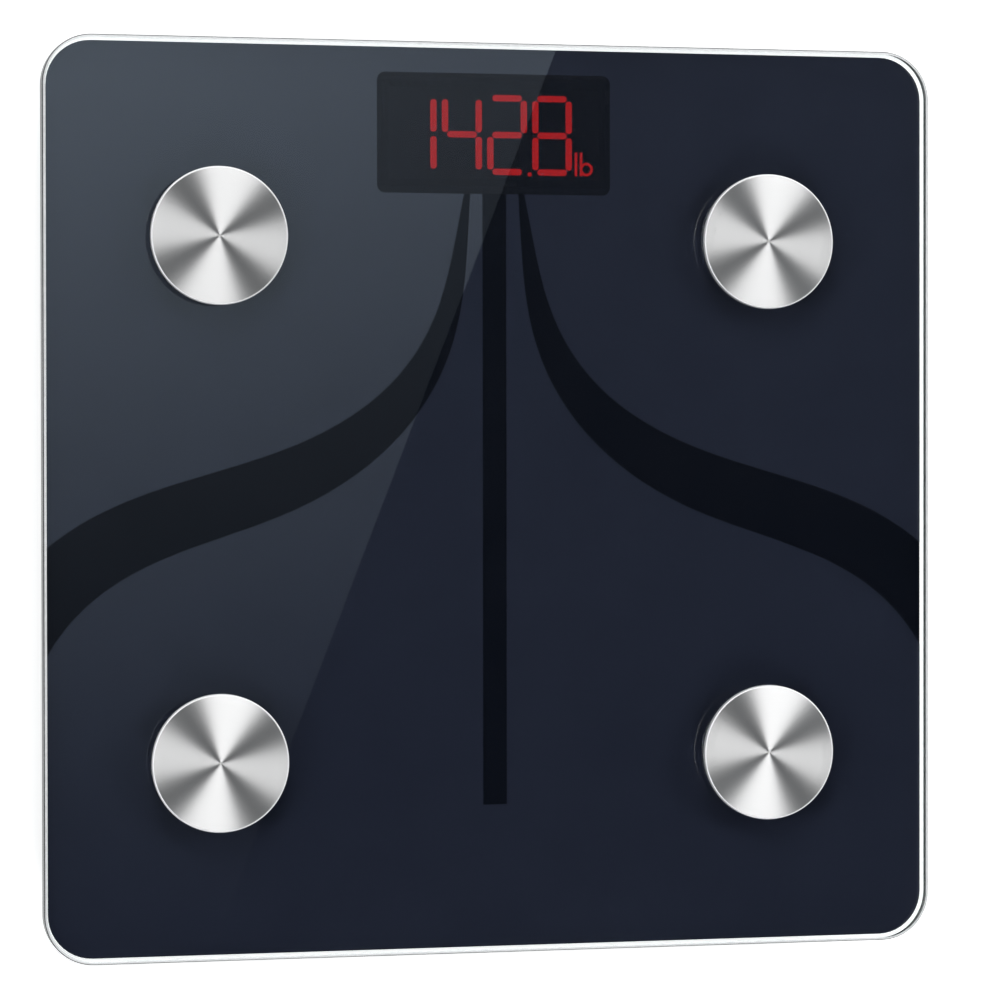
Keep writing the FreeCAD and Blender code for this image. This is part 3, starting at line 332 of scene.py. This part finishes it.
def glassMaterial():
    material, nodes, links, shader = newMaterial("clearGlass")
    nodes.remove(shader)
    glass = nodes.new("ShaderNodeBsdfGlass")
    glass.inputs["IOR"].default_value = glassLook["index"]
    glass.inputs["Color"].default_value = glassLook["tint"]
    glass.inputs["Roughness"].default_value = 0
    geometry = nodes.new("ShaderNodeNewGeometry")
    parts = nodes.new("ShaderNodeSeparateXYZ")
    links.new(geometry.outputs["True Normal"], parts.inputs["Vector"])
    level = joined(nodes, links, "ABSOLUTE", parts.outputs["Z"], 0.0)
    # seen edge-on, the wall between the chamfers is painted dark: painted shade laid over the clear glass
    upright = scaled(
        nodes, links, level, glassLook["wallFrom"], glassLook["wallTo"], 0, glassLook["wallShare"]
    )
    body = mixed(nodes, links, upright, glass.outputs["BSDF"], paintedDarkEdge(nodes, links))
    # the upper part of each chamfer is finely ground, and looks white
    grit = noiseOf(nodes, links, glassLook["grit"], 2)
    amount = joined(
        nodes, links, "MULTIPLY",
        bandOf(nodes, links, level, glassLook["groundFrom"], glassLook["groundTo"]),
        spreadOf(nodes, links, grit.outputs["Fac"], *glassLook["frostShare"]),
    )
    body = mixed(nodes, links, amount, body, groundGlass(nodes, links))
    # light passes straight through to what lies under the plate
    path = nodes.new("ShaderNodeLightPath")
    clear = nodes.new("ShaderNodeBsdfTransparent")
    clear.inputs["Color"].default_value = glassLook["shadowTint"]
    body = mixed(nodes, links, path.outputs["Is Shadow Ray"], body, clear.outputs["BSDF"])
    links.new(body, nodes["Material Output"].inputs["Surface"])
    return material


plateBuild = {
    "cornerRadius": 14 * millimetre,
    "edgeBevel": 0.8 * millimetre,
    "cornerSegments": 24,
    "bevelSegments": 4,
    "studHole": 5 * millimetre,
    "inkDepth": 0.21 * millimetre,
}


def makeGlassPlate():
    low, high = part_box("glass_platform")
    base = low[2] - plateBuild["inkDepth"]  # the ink films lie in contact with the glass
    plate = addBlock((low[0], low[1], base), high)
    pickEdges(plate, lambda a, b: abs(a.z - b.z) > millimetre)
    bevelPicked(plateBuild["cornerRadius"], plateBuild["cornerSegments"])
    pickEdges(plate, lambda a, b: abs(a.z - b.z) < tiny)
    bevelPicked(plateBuild["edgeBevel"], plateBuild["bevelSegments"])
    for corner in corners:
        discLow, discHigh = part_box("electrode_" + corner)
        centre = (Vector(discLow) + Vector(discHigh)) / 2
        hole = addDisc(centre, plateBuild["studHole"] / 2, base - millimetre, high[2] + millimetre, 48)
        cutAway(plate, hole)
    smooth(plate, 30)
    plate.data.materials.append(glassMaterial())
    settle(plate, "glassPlate")
    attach(plate, "platform")
    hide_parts("glass_platform")
    print("glass plate:", len(plate.data.polygons), "faces")


makeGlassPlate()


# spun stainless steel electrodes: a turned disc with a chamfer carrying a painted highlight, on a stud

electrodeBuild = {
    "chamfer": 0.45 * millimetre,
    "chamferSegments": 3,
    "chamferProfile": 0.6,
    "studRadius": 2 * millimetre,
    "sides": 160,
    "rings": 6,
    "grooveScale": 2600,
    "dark": colourOf(0.60, 0.60, 0.60),
    "light": colourOf(0.78, 0.78, 0.78),
    "rough": (0.38, 0.48),
    # the chamfer's near-white, partly diffuse colour is a painted highlight on the steel rim
    "rimDark": colourOf(0.90, 0.90, 0.91),
    "rimLight": colourOf(0.95, 0.95, 0.96),
    "rimRough": (0.42, 0.5),
    "rimMetal": 0.35,
}


def spunSteel():
    material, nodes, links, shader = newMaterial("spunSteel")
    place = nodes.new("ShaderNodeTexCoord")
    # rings about the disc's own centre, which its UV map holds
    radius = nodes.new("ShaderNodeVectorMath")
    radius.operation = "LENGTH"
    links.new(place.outputs["UV"], radius.inputs[0])
    rings = nodes.new("ShaderNodeTexNoise")
    rings.noise_dimensions = "1D"
    rings.inputs["Scale"].default_value = electrodeBuild["grooveScale"]
    rings.inputs["Detail"].default_value = 3
    links.new(radius.outputs["Value"], rings.inputs["W"])
    links.new(
        tintOf(nodes, links, rings.outputs["Fac"], electrodeBuild["dark"], electrodeBuild["light"]),
        shader.inputs["Base Color"],
    )
    rough = spreadOf(nodes, links, rings.outputs["Fac"], *electrodeBuild["rough"])
    links.new(rough, shader.inputs["Roughness"])
    shader.inputs["Metallic"].default_value = 1
    shader.inputs["Anisotropic"].default_value = 0.97
    shader.inputs["Anisotropic Rotation"].default_value = 0.25
    turn = nodes.new("ShaderNodeTangent")
    turn.direction_type = "RADIAL"
    turn.axis = "Z"
    links.new(turn.outputs["Tangent"], shader.inputs["Tangent"])
    return material


def paintedHighlightChamfer():
    # near-white steel that stands in for the bright line along the rim: a painted highlight, with fine noise
    # in its colour and roughness
    material, nodes, links, shader = newMaterial("paintedHighlightChamfer")
    glint = noiseOf(nodes, links, 900, 3)
    links.new(
        tintOf(nodes, links, glint.outputs["Fac"], electrodeBuild["rimDark"], electrodeBuild["rimLight"]),
        shader.inputs["Base Color"],
    )
    rough = spreadOf(nodes, links, glint.outputs["Fac"], *electrodeBuild["rimRough"])
    links.new(rough, shader.inputs["Roughness"])
    shader.inputs["Metallic"].default_value = electrodeBuild["rimMetal"]
    return material


steelFace = spunSteel()
chamferPaintedHighlight = paintedHighlightChamfer()


def centreUv(piece, centre):
    # a flat map in metres, centred on the disc's axis
    sheet = piece.data.uv_layers.new(name="turned")
    for loop in piece.data.loops:
        spot = piece.data.vertices[loop.vertex_index].co
        sheet.data[loop.index].uv = (spot.x - centre.x, spot.y - centre.y)


def makeElectrode(corner):
    low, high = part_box("electrode_" + corner)
    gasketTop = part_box("electrode_gaskets")[1][2]
    centre = Vector(((low[0] + high[0]) / 2, (low[1] + high[1]) / 2, 0))
    reach = (high[0] - low[0]) / 2
    disc = addDisc(centre, reach, gasketTop, high[2], electrodeBuild["sides"])
    # the top edge is broken by a chamfer, coloured near-white as a painted highlight
    pickEdges(disc, lambda a, b: min(a.z, b.z) > high[2] - tiny)
    chamfer = electrodeBuild["chamfer"]
    bevelPicked(chamfer, electrodeBuild["chamferSegments"], electrodeBuild["chamferProfile"])
    # turned rings on the face
    step = reach / (electrodeBuild["rings"] + 1)
    for ring in range(electrodeBuild["rings"]):
        pickFaces(disc, lambda c, n: n.z > 0.99 and (c - centre).xy.length < millimetre)
        bpy.ops.mesh.inset(thickness=step)
        leaveEdit()
    # the stud grows out of the underside
    pickFaces(disc, lambda c, n: n.z < -0.99)
    bpy.ops.mesh.inset(thickness=reach - electrodeBuild["studRadius"])
    bpy.ops.mesh.extrude_region_move(TRANSFORM_OT_translate={"value": (0, 0, low[2] - gasketTop)})
    leaveEdit()
    smooth(disc, 20)
    settle(disc, "electrode." + corner)
    centreUv(disc, centre)
    disc.data.materials.append(steelFace)
    disc.data.materials.append(chamferPaintedHighlight)
    for face in disc.data.polygons:
        onRim = (face.center - centre).xy.length > reach - chamfer * 1.1
        face.material_index = 1 if onRim else 0
    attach(disc, "platform")
    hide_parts("electrode_" + corner)


for corner in corners:
    makeElectrode(corner)
print("electrodes: 4")


# feet: rubber pads with turned grip rings on a flat underside with a rounded edge

padBuild = {
    "sides": 96,
    "edge": 0.6 * millimetre,
    "edgeSegments": 4,
    "grooveDepth": 0.5 * millimetre,
    "grooveWidth": 0.9 * millimetre,
    "ribWidth": 2.0 * millimetre,
    "grooves": 4,
}

footRubber = mouldedPlastic(
    "footRubber", colourOf(0.035, 0.036, 0.038), colourOf(0.055, 0.056, 0.060), 0.72, 2400, 0.02 * millimetre
)


def makePad(corner):
    low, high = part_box("foot_rubber_" + corner)
    centre = Vector(((low[0] + high[0]) / 2, (low[1] + high[1]) / 2, 0))
    pad = addDisc(centre, (high[0] - low[0]) / 2, low[2], high[2], padBuild["sides"])
    pickEdges(pad, lambda a, b: max(a.z, b.z) < low[2] + tiny)
    bevelPicked(padBuild["edge"], padBuild["edgeSegments"])
    for groove in range(padBuild["grooves"]):
        innermost = lambda c, n: n.z < -0.99 and (c - centre).xy.length < millimetre
        pickFaces(pad, innermost)
        bpy.ops.mesh.inset(thickness=padBuild["ribWidth"])
        bpy.ops.mesh.extrude_region_move(TRANSFORM_OT_translate={"value": (0, 0, padBuild["grooveDepth"])})
        bpy.ops.mesh.inset(thickness=padBuild["grooveWidth"])
        bpy.ops.mesh.extrude_region_move(TRANSFORM_OT_translate={"value": (0, 0, -padBuild["grooveDepth"])})
        leaveEdit()
    smooth(pad, 40)
    pad.data.materials.append(footRubber)
    settle(pad, "footPad." + corner)
    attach(pad, "foot_" + corner)
    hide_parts("foot_rubber_" + corner)


for corner in corners:
    makePad(corner)
print("foot pads: 4")


# grip ribs beside the battery door's latch

gripBuild = {
    "ribs": 5,
    "width": 14 * millimetre,
    "thick": 0.8 * millimetre,
    "rise": 0.45 * millimetre,
    "pitch": 2.0 * millimetre,
    "fromEdge": 5 * millimetre,
    "taper": 0.9 * millimetre,
    "edge": 0.2 * millimetre,
    "edgeSegments": 3,
    "seat": 0.1 * millimetre,
}

trayPlastic = mouldedPlastic(
    "trayPlastic", colourOf(0.024, 0.025, 0.027), colourOf(0.034, 0.035, 0.038), 0.52, 2100, 0.03 * millimetre
)


def makeDoorGrip():
    low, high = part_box("battery_door")
    ribs = []
    for index in range(gripBuild["ribs"]):
        y = high[1] - gripBuild["fromEdge"] - index * gripBuild["pitch"]
        half = gripBuild["width"] / 2 - index * gripBuild["taper"]
        rib = addBlock(
            (-half, y - gripBuild["thick"] / 2, low[2] - gripBuild["rise"]),
            (half, y + gripBuild["thick"] / 2, low[2] + gripBuild["seat"]),
        )
        pickEdges(rib, lambda a, b: min(a.z, b.z) < low[2] - gripBuild["rise"] / 2)
        bevelPicked(gripBuild["edge"], gripBuild["edgeSegments"])
        ribs.append(rib)
    selectNone()
    for rib in ribs:
        rib.select_set(True)
    bpy.context.view_layer.objects.active = ribs[0]
    bpy.ops.object.join()
    grip = bpy.context.object
    smooth(grip, 40)
    grip.data.materials.append(trayPlastic)
    settle(grip, "doorGrip")
    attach(grip, "battery_door")


makeDoorGrip()


# display: red segments behind the smoked window

displayLook = {
    "red": colourOf(1.0, 0.022, 0.022),
    "glow": 3.6,
    "haze": colourOf(0.0044, 0.0056, 0.0088),
    "filter": colourOf(0.30, 0.26, 0.26),
}


def litSegment():
    material, nodes, links, shader = newMaterial("litSegment")
    grain = noiseOf(nodes, links, 700, 2)
    glow = displayLook["glow"]
    glow = spreadOf(nodes, links, grain.outputs["Fac"], glow * 0.96, glow * 1.04)
    shader.inputs["Base Color"].default_value = colourOf(0.3, 0.02, 0.02)
    shader.inputs["Emission Color"].default_value = displayLook["red"]
    links.new(glow, shader.inputs["Emission Strength"])
    shader.inputs["Roughness"].default_value = 0.5
    return material


def smokedWindow():
    # a clear film with a faint grey haze, in contact with the glass above it
    material, nodes, links, shader = newMaterial("smokedWindow")
    nodes.remove(shader)
    haze = nodes.new("ShaderNodeBsdfDiffuse")
    cloud = noiseOf(nodes, links, 60, 2)
    dark = displayLook["haze"]
    light = colourOf(dark[0] * 1.12, dark[1] * 1.12, dark[2] * 1.12)
    links.new(tintOf(nodes, links, cloud.outputs["Fac"], dark, light), haze.inputs["Color"])
    clear = nodes.new("ShaderNodeBsdfTransparent")
    clear.inputs["Color"].default_value = displayLook["filter"]
    both = nodes.new("ShaderNodeAddShader")
    links.new(haze.outputs["BSDF"], both.inputs[0])
    links.new(clear.outputs["BSDF"], both.inputs[1])
    links.new(both.outputs["Shader"], nodes["Material Output"].inputs["Surface"])
    return material


windowFilm = smokedWindow()
redLight = litSegment()
print("display materials ready")


# finishes for the carried-over CAD nodes

cupPlastic = mouldedPlastic(
    "cupPlastic", colourOf(0.030, 0.031, 0.034), colourOf(0.042, 0.043, 0.047), 0.42, 1500, 0.015 * millimetre
)
buttonPlastic = mouldedPlastic(
    "buttonPlastic", colourOf(0.10, 0.105, 0.11), colourOf(0.13, 0.135, 0.14), 0.38, 1800, 0.012 * millimetre
)
displayBlack = mouldedPlastic(
    "displayBlack", colourOf(0.003, 0.003, 0.004), colourOf(0.005, 0.005, 0.006), 0.8, 1600,
    0.01 * millimetre, 0.1,
)
unlitSegment = mouldedPlastic(
    "unlitSegment", colourOf(0.006, 0.006, 0.008), colourOf(0.009, 0.009, 0.011), 0.5, 900, 0.005 * millimetre
)
gasketRubber = mouldedPlastic(
    "gasketRubber", colourOf(0.010, 0.010, 0.011), colourOf(0.018, 0.018, 0.020), 0.7, 1200, 0.02 * millimetre
)
foamTape = mouldedPlastic(
    "foamTape", colourOf(0.018, 0.018, 0.019), colourOf(0.030, 0.030, 0.032), 0.9, 800, 0.08 * millimetre
)
siliconeDab = mouldedPlastic(
    "siliconeDab", colourOf(0.62, 0.62, 0.60), colourOf(0.74, 0.74, 0.72), 0.35, 500, 0.05 * millimetre
)
chipPlastic = mouldedPlastic(
    "chipPlastic", colourOf(0.012, 0.012, 0.013), colourOf(0.020, 0.020, 0.021), 0.5, 3000, 0.006 * millimetre
)
socketPlastic = mouldedPlastic(
    "socketPlastic", colourOf(0.70, 0.68, 0.60), colourOf(0.80, 0.78, 0.70), 0.45, 1500, 0.008 * millimetre
)
leadRed = mouldedPlastic(
    "leadRed", colourOf(0.42, 0.012, 0.012), colourOf(0.55, 0.020, 0.018), 0.4, 900, 0.01 * millimetre
)
leadGrey = mouldedPlastic(
    "leadGrey", colourOf(0.20, 0.20, 0.21), colourOf(0.30, 0.30, 0.31), 0.45, 900, 0.01 * millimetre
)
batteryCan = platedMetal("batteryCan", colourOf(0.30, 0.22, 0.10), colourOf(0.46, 0.34, 0.16), 0.3, 900)
platedSteel = platedMetal("platedSteel", colourOf(0.50, 0.50, 0.52), colourOf(0.68, 0.68, 0.70), 0.3, 1400)
loadCellSteel = platedMetal(
    "loadCellSteel", colourOf(0.42, 0.42, 0.43), colourOf(0.58, 0.58, 0.59), 0.34, 1100
)
tinnedBrass = platedMetal("tinnedBrass", colourOf(0.66, 0.60, 0.46), colourOf(0.80, 0.75, 0.62), 0.28, 1500)
springSteel = platedMetal("springSteel", colourOf(0.40, 0.40, 0.42), colourOf(0.60, 0.60, 0.62), 0.25, 2000)


def boardMaterial():
    # a green solder mask over faint copper tracks
    material, nodes, links, shader = newMaterial("circuitBoard")
    place = nodes.new("ShaderNodeTexCoord")
    tracks = nodes.new("ShaderNodeTexBrick")
    tracks.inputs["Scale"].default_value = 420
    tracks.inputs["Mortar Size"].default_value = 0.06
    tracks.inputs["Color1"].default_value = colourOf(0.010, 0.095, 0.040)
    tracks.inputs["Color2"].default_value = colourOf(0.014, 0.120, 0.050)
    tracks.inputs["Mortar"].default_value = colourOf(0.006, 0.060, 0.026)
    links.new(place.outputs["Object"], tracks.inputs["Vector"])
    links.new(tracks.outputs["Color"], shader.inputs["Base Color"])
    relief = bumpOf(nodes, links, tracks.outputs["Fac"], 0.3, 0.03 * millimetre)
    links.new(relief, shader.inputs["Normal"])
    shader.inputs["Roughness"].default_value = 0.32
    return material


slotFinishes = {
    "foam_tape": foamTape,
    "gasket_rubber": gasketRubber,
    "plated_steel": platedSteel,
    "tinned_brass": tinnedBrass,
    "load_cell_steel": loadCellSteel,
    "silicone": siliconeDab,
    "foot_plastic": cupPlastic,
    "foot_rubber": footRubber,
    "board": boardMaterial(),
    "chip_plastic": chipPlastic,
    "socket_plastic": socketPlastic,
    "display_black": displayBlack,
    "lit_segment": redLight,
    "unlit_segment": unlitSegment,
    "battery_can": batteryCan,
    "spring_steel": springSteel,
    "lead_red": leadRed,
    "lead_grey": leadGrey,
    "button_plastic": buttonPlastic,
    "clear_glass": trayPlastic,
    "navy_print": navyInk,
    "black_print": blackInk,
    "smoked_window": windowFilm,
    "tray_plastic": trayPlastic,
    "spun_steel": steelFace,
}


# the gasket round the display would show as a pale frame through the window
nodeFinishes = {"display_gasket": displayBlack}


def finishNodes():
    for name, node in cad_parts.items():
        for holder in node.material_slots:
            slotName = holder.material.name.split(".")[0]
            holder.material = nodeFinishes.get(name) or slotFinishes[slotName]


finishNodes()
print("finished nodes:", len(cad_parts))


# stage: a pale floor, soft studio lights and the camera

stageBuild = {
    "floorHalf": 6,
    "floorDrop": 0.2 * millimetre,
    "floorDark": colourOf(0.86, 0.86, 0.86),
    "floorLight": colourOf(0.88, 0.88, 0.88),
    "floorGlow": 0.55,
    # the softbox over the plate, and the dark card behind it
    "panelHeight": 1.0,
    "panelShape": ((-0.30, -0.40), (0.026, -0.40), (0.340, 0.40), (-0.30, 0.40)),
    "panelGlow": 0.67,
    "panelThrough": 1.34,
    "panelTint": colourOf(0.74, 0.87, 1.0),
    "inkShift": 1.95 * millimetre,
    "panelFade": 1.6,
    "fadeAlong": (-0.27, 0.21),
    "dimAcross": (0.0, 0.25),
    "dimTo": 0.68,
    "cardColour": colourOf(0.002, 0.002, 0.002),
    "cardTint": colourOf(0.8, 0.9, 1.0),
    "cardGlow": 0.06,
    "cardAlong": (-0.15, 0.25),
    "cardGap": 20 * millimetre,
    "cardShape": ((-0.10, -0.36), (0.58, -0.36), (0.58, 0.34), (-0.10, 0.34)),
    "cameraAt": (-0.2646, 0.0149, 1.1234),
    "cameraTurn": (-0.760, -13.580, -0.085),
    "lens": 142.3,
    "rimPower": 1.3,
    "rimFrom": (-1, 0.6, 1.4),
    "rimSpread": 20,
    "worldTint": colourOf(0.9, 0.95, 1.0),
    "worldGlow": 0.2,
    "roomLightSize": (0.5, 0.9),
    "roomLights": (
        ("northLight", (-0.25, 1.5, 1.3), 14),
        ("southLight", (0.3, -1.5, 1.3), 12),
        ("eastLight", (1.7, 0.35, 1.2), 14),
        ("westLight", (-1.7, -0.2, 1.2), 12),
    ),
    # each fan's azimuth and lean in degrees, and its strip's width and power
    "fanReach": 2.0,
    "fanDepth": 0.3,
    "fans": (
        ("uprightFan", 80, 18, 1.2, 29),
        ("levelFan", 170, 18, 1.1, 18),
        ("fillFan", 0, 0, 1.0, 0.7),
    ),
}


def paleFloor():
    material, nodes, links, shader = newMaterial("paleFloor")
    haze = noiseOf(nodes, links, 3, 2)
    links.new(
        tintOf(nodes, links, haze.outputs["Fac"], stageBuild["floorDark"], stageBuild["floorLight"]),
        shader.inputs["Base Color"],
    )
    shader.inputs["Roughness"].default_value = 0.9
    shader.inputs["Specular IOR Level"].default_value = 0
    shader.inputs["Emission Color"].default_value = colourOf(1, 1, 1)
    shader.inputs["Emission Strength"].default_value = stageBuild["floorGlow"]
    selectNone()
    place = (0, 0, -stageBuild["floorDrop"])
    bpy.ops.mesh.primitive_plane_add(size=2 * stageBuild["floorHalf"], location=place)
    floor = bpy.context.object
    floor.name = "floor"
    floor.data.materials.append(material)


def lightOnly(lamp, names):
    # a lamp or panel that reaches only these pieces
    reached = bpy.data.collections.new(lamp.name + "Reach")
    for name in names:
        reached.objects.link(bpy.data.objects[name])
    lamp.light_linking.receiver_collection = reached


def lightAllBut(lamp, names):
    # a lamp that leaves these pieces out
    lightOnly(lamp, names)
    for entry in lamp.light_linking.receiver_collection.collection_objects:
        entry.light_linking.link_state = "EXCLUDE"


def splitPlace(nodes, links):
    place = nodes.new("ShaderNodeTexCoord")
    split = nodes.new("ShaderNodeSeparateXYZ")
    links.new(place.outputs["Object"], split.inputs["Vector"])
    return split


def softPanel(power):
    # a softbox over the plate, whose slanted edge the glass mirrors; it fades towards the heel end
    material, nodes, links, shader = newMaterial("softPanel")
    nodes.remove(shader)
    split = splitPlace(nodes, links)
    fade = scaled(nodes, links, split.outputs["Y"], *stageBuild["fadeAlong"], 0, 1)
    fade = joined(nodes, links, "POWER", fade, stageBuild["panelFade"])
    side = scaled(nodes, links, split.outputs["X"], *stageBuild["dimAcross"], 1, stageBuild["dimTo"])
    glow = nodes.new("ShaderNodeEmission")
    glow.inputs["Color"].default_value = stageBuild["panelTint"]
    strength = joined(nodes, links, "MULTIPLY", fade, side)
    strength = joined(nodes, links, "MULTIPLY", strength, power)
    links.new(strength, glow.inputs["Strength"])
    links.new(glow.outputs["Emission"], nodes["Material Output"].inputs["Surface"])
    material.cycles.emission_sampling = "NONE"
    return material


def darkCard():
    # a near-black card keeps the rest of the mirrored view dark, with a faint glow at the toe end
    material, nodes, links, shader = newMaterial("darkCard")
    shader.inputs["Base Color"].default_value = stageBuild["cardColour"]
    shader.inputs["Specular IOR Level"].default_value = 0
    shader.inputs["Emission Color"].default_value = stageBuild["cardTint"]
    along = splitPlace(nodes, links).outputs["Y"]
    glow = scaled(nodes, links, along, *stageBuild["cardAlong"], 0, stageBuild["cardGlow"])
    links.new(glow, shader.inputs["Emission Strength"])
    material.cycles.emission_sampling = "NONE"
    return material


def overheadPanels():
    # the glass and the ink under it mirror the same softbox, one from each surface
    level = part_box("glass_platform")[1][2] + stageBuild["panelHeight"]
    shape = stageBuild["panelShape"]
    inner = [(x + stageBuild["inkShift"], y) for x, y in shape]
    facing = addStagePanel("softPanel", shape, level, softPanel(stageBuild["panelGlow"]))
    facing.visible_transmission = False
    lightOnly(facing, ["glassPlate"])
    through = addStagePanel("softPanelThrough", inner, level, softPanel(stageBuild["panelThrough"]))
    through.visible_glossy = False
    addStagePanel("darkCard", stageBuild["cardShape"], level + stageBuild["cardGap"], darkCard())


def addStagePanel(name, shape, level, material):
    selectNone()
    bpy.ops.mesh.primitive_plane_add(size=1, location=(0, 0, level))
    panel = bpy.context.object
    panel.name = name
    order = sorted(range(4), key=lambda v: math.atan2(*panel.data.vertices[v].co.yx))
    for vertex, (x, y) in zip(order, shape):
        panel.data.vertices[vertex].co = (x, y, 0)
    bpy.ops.object.transform_apply(location=True, rotation=False, scale=False)
    panel.data.materials.append(material)
    panel.visible_camera = False
    panel.visible_diffuse = False
    panel.visible_shadow = False
    return panel


def areaLight(name, place, aim, power, width, length):
    selectNone()
    bpy.ops.object.light_add(type="AREA", location=place)
    lamp = bpy.context.object
    lamp.name = name
    lamp.data.shape = "RECTANGLE"
    lamp.data.size = width
    lamp.data.size_y = length
    lamp.data.energy = power
    lamp.rotation_mode = "QUATERNION"
    lamp.rotation_quaternion = (Vector(aim) - Vector(place)).to_track_quat("-Z", "Y")
    return lamp


def roomLights():
    # four soft lamps round the object; the electrodes have lamps of their own
    for name, place, power in stageBuild["roomLights"]:
        lamp = areaLight(name, place, (0, 0, 0), power, *stageBuild["roomLightSize"])
        lightAllBut(lamp, ["electrode." + corner for corner in corners])


def electrodeLights():
    # each disc has its own strips, set by the mirror rule so that their fans fall at the same hours
    for corner in corners:
        low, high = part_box("electrode_" + corner)
        centre = Vector(((low[0] + high[0]) / 2, (low[1] + high[1]) / 2, high[2]))
        eye = (Vector(stageBuild["cameraAt"]) - centre).normalized()
        for name, turn, lean, width, power in stageBuild["fans"]:
            angle = math.radians(turn)
            tilt = math.radians(lean)
            outwards = Vector((math.cos(angle), math.sin(angle), 0))
            half = outwards * math.sin(tilt) + Vector((0, 0, 1)) * math.cos(tilt)
            towards = (2 * half.dot(eye) * half - eye).normalized()
            place = centre + towards * stageBuild["fanReach"]
            lamp = areaLight(name + "." + corner, place, centre, power, width, stageBuild["fanDepth"])
            side = outwards.cross(Vector((0, 0, 1))).normalized()
            side = (side - towards * side.dot(towards)).normalized()
            up = towards.cross(side)
            lamp.rotation_quaternion = Matrix((side, up, towards)).transposed().to_quaternion()
            lamp.visible_camera = False
            lightOnly(lamp, ["electrode." + corner])


def rimLight():
    # lights the ground chamfers of the plate only
    selectNone()
    source = Vector(stageBuild["rimFrom"])
    bpy.ops.object.light_add(type="SUN", location=source)
    lamp = bpy.context.object
    lamp.name = "rimLight"
    lamp.data.energy = stageBuild["rimPower"]
    lamp.data.angle = math.radians(stageBuild["rimSpread"])
    lamp.rotation_mode = "QUATERNION"
    lamp.rotation_quaternion = (-source).to_track_quat("-Z", "Y")
    lightOnly(lamp, ["glassPlate"])


def studioWorld():
    world = bpy.data.worlds.new("studio")
    bpy.context.scene.world = world
    world.use_nodes = True
    nodes = world.node_tree.nodes
    links = world.node_tree.links
    around = nodes["Background"]
    around.inputs["Color"].default_value = stageBuild["worldTint"]
    around.inputs["Strength"].default_value = stageBuild["worldGlow"]
    seen = nodes.new("ShaderNodeBackground")
    seen.inputs["Color"].default_value = colourOf(1, 1, 1)
    path = nodes.new("ShaderNodeLightPath")
    both = mixed(
        nodes, links, path.outputs["Is Camera Ray"], around.outputs["Background"], seen.outputs["Background"]
    )
    links.new(both, nodes["World Output"].inputs["Surface"])


def makeCamera():
    selectNone()
    turn = [math.radians(angle) for angle in stageBuild["cameraTurn"]]
    bpy.ops.object.camera_add(location=stageBuild["cameraAt"], rotation=turn)
    camera = bpy.context.object
    camera.data.sensor_width = 36
    camera.data.lens = stageBuild["lens"]
    camera.data.clip_start = 0.05
    camera.data.clip_end = 50
    bpy.context.scene.camera = camera


paleFloor()
overheadPanels()
roomLights()
electrodeLights()
rimLight()
studioWorld()
makeCamera()
bpy.context.scene.view_settings.view_transform = "Standard"
print("stage ready")
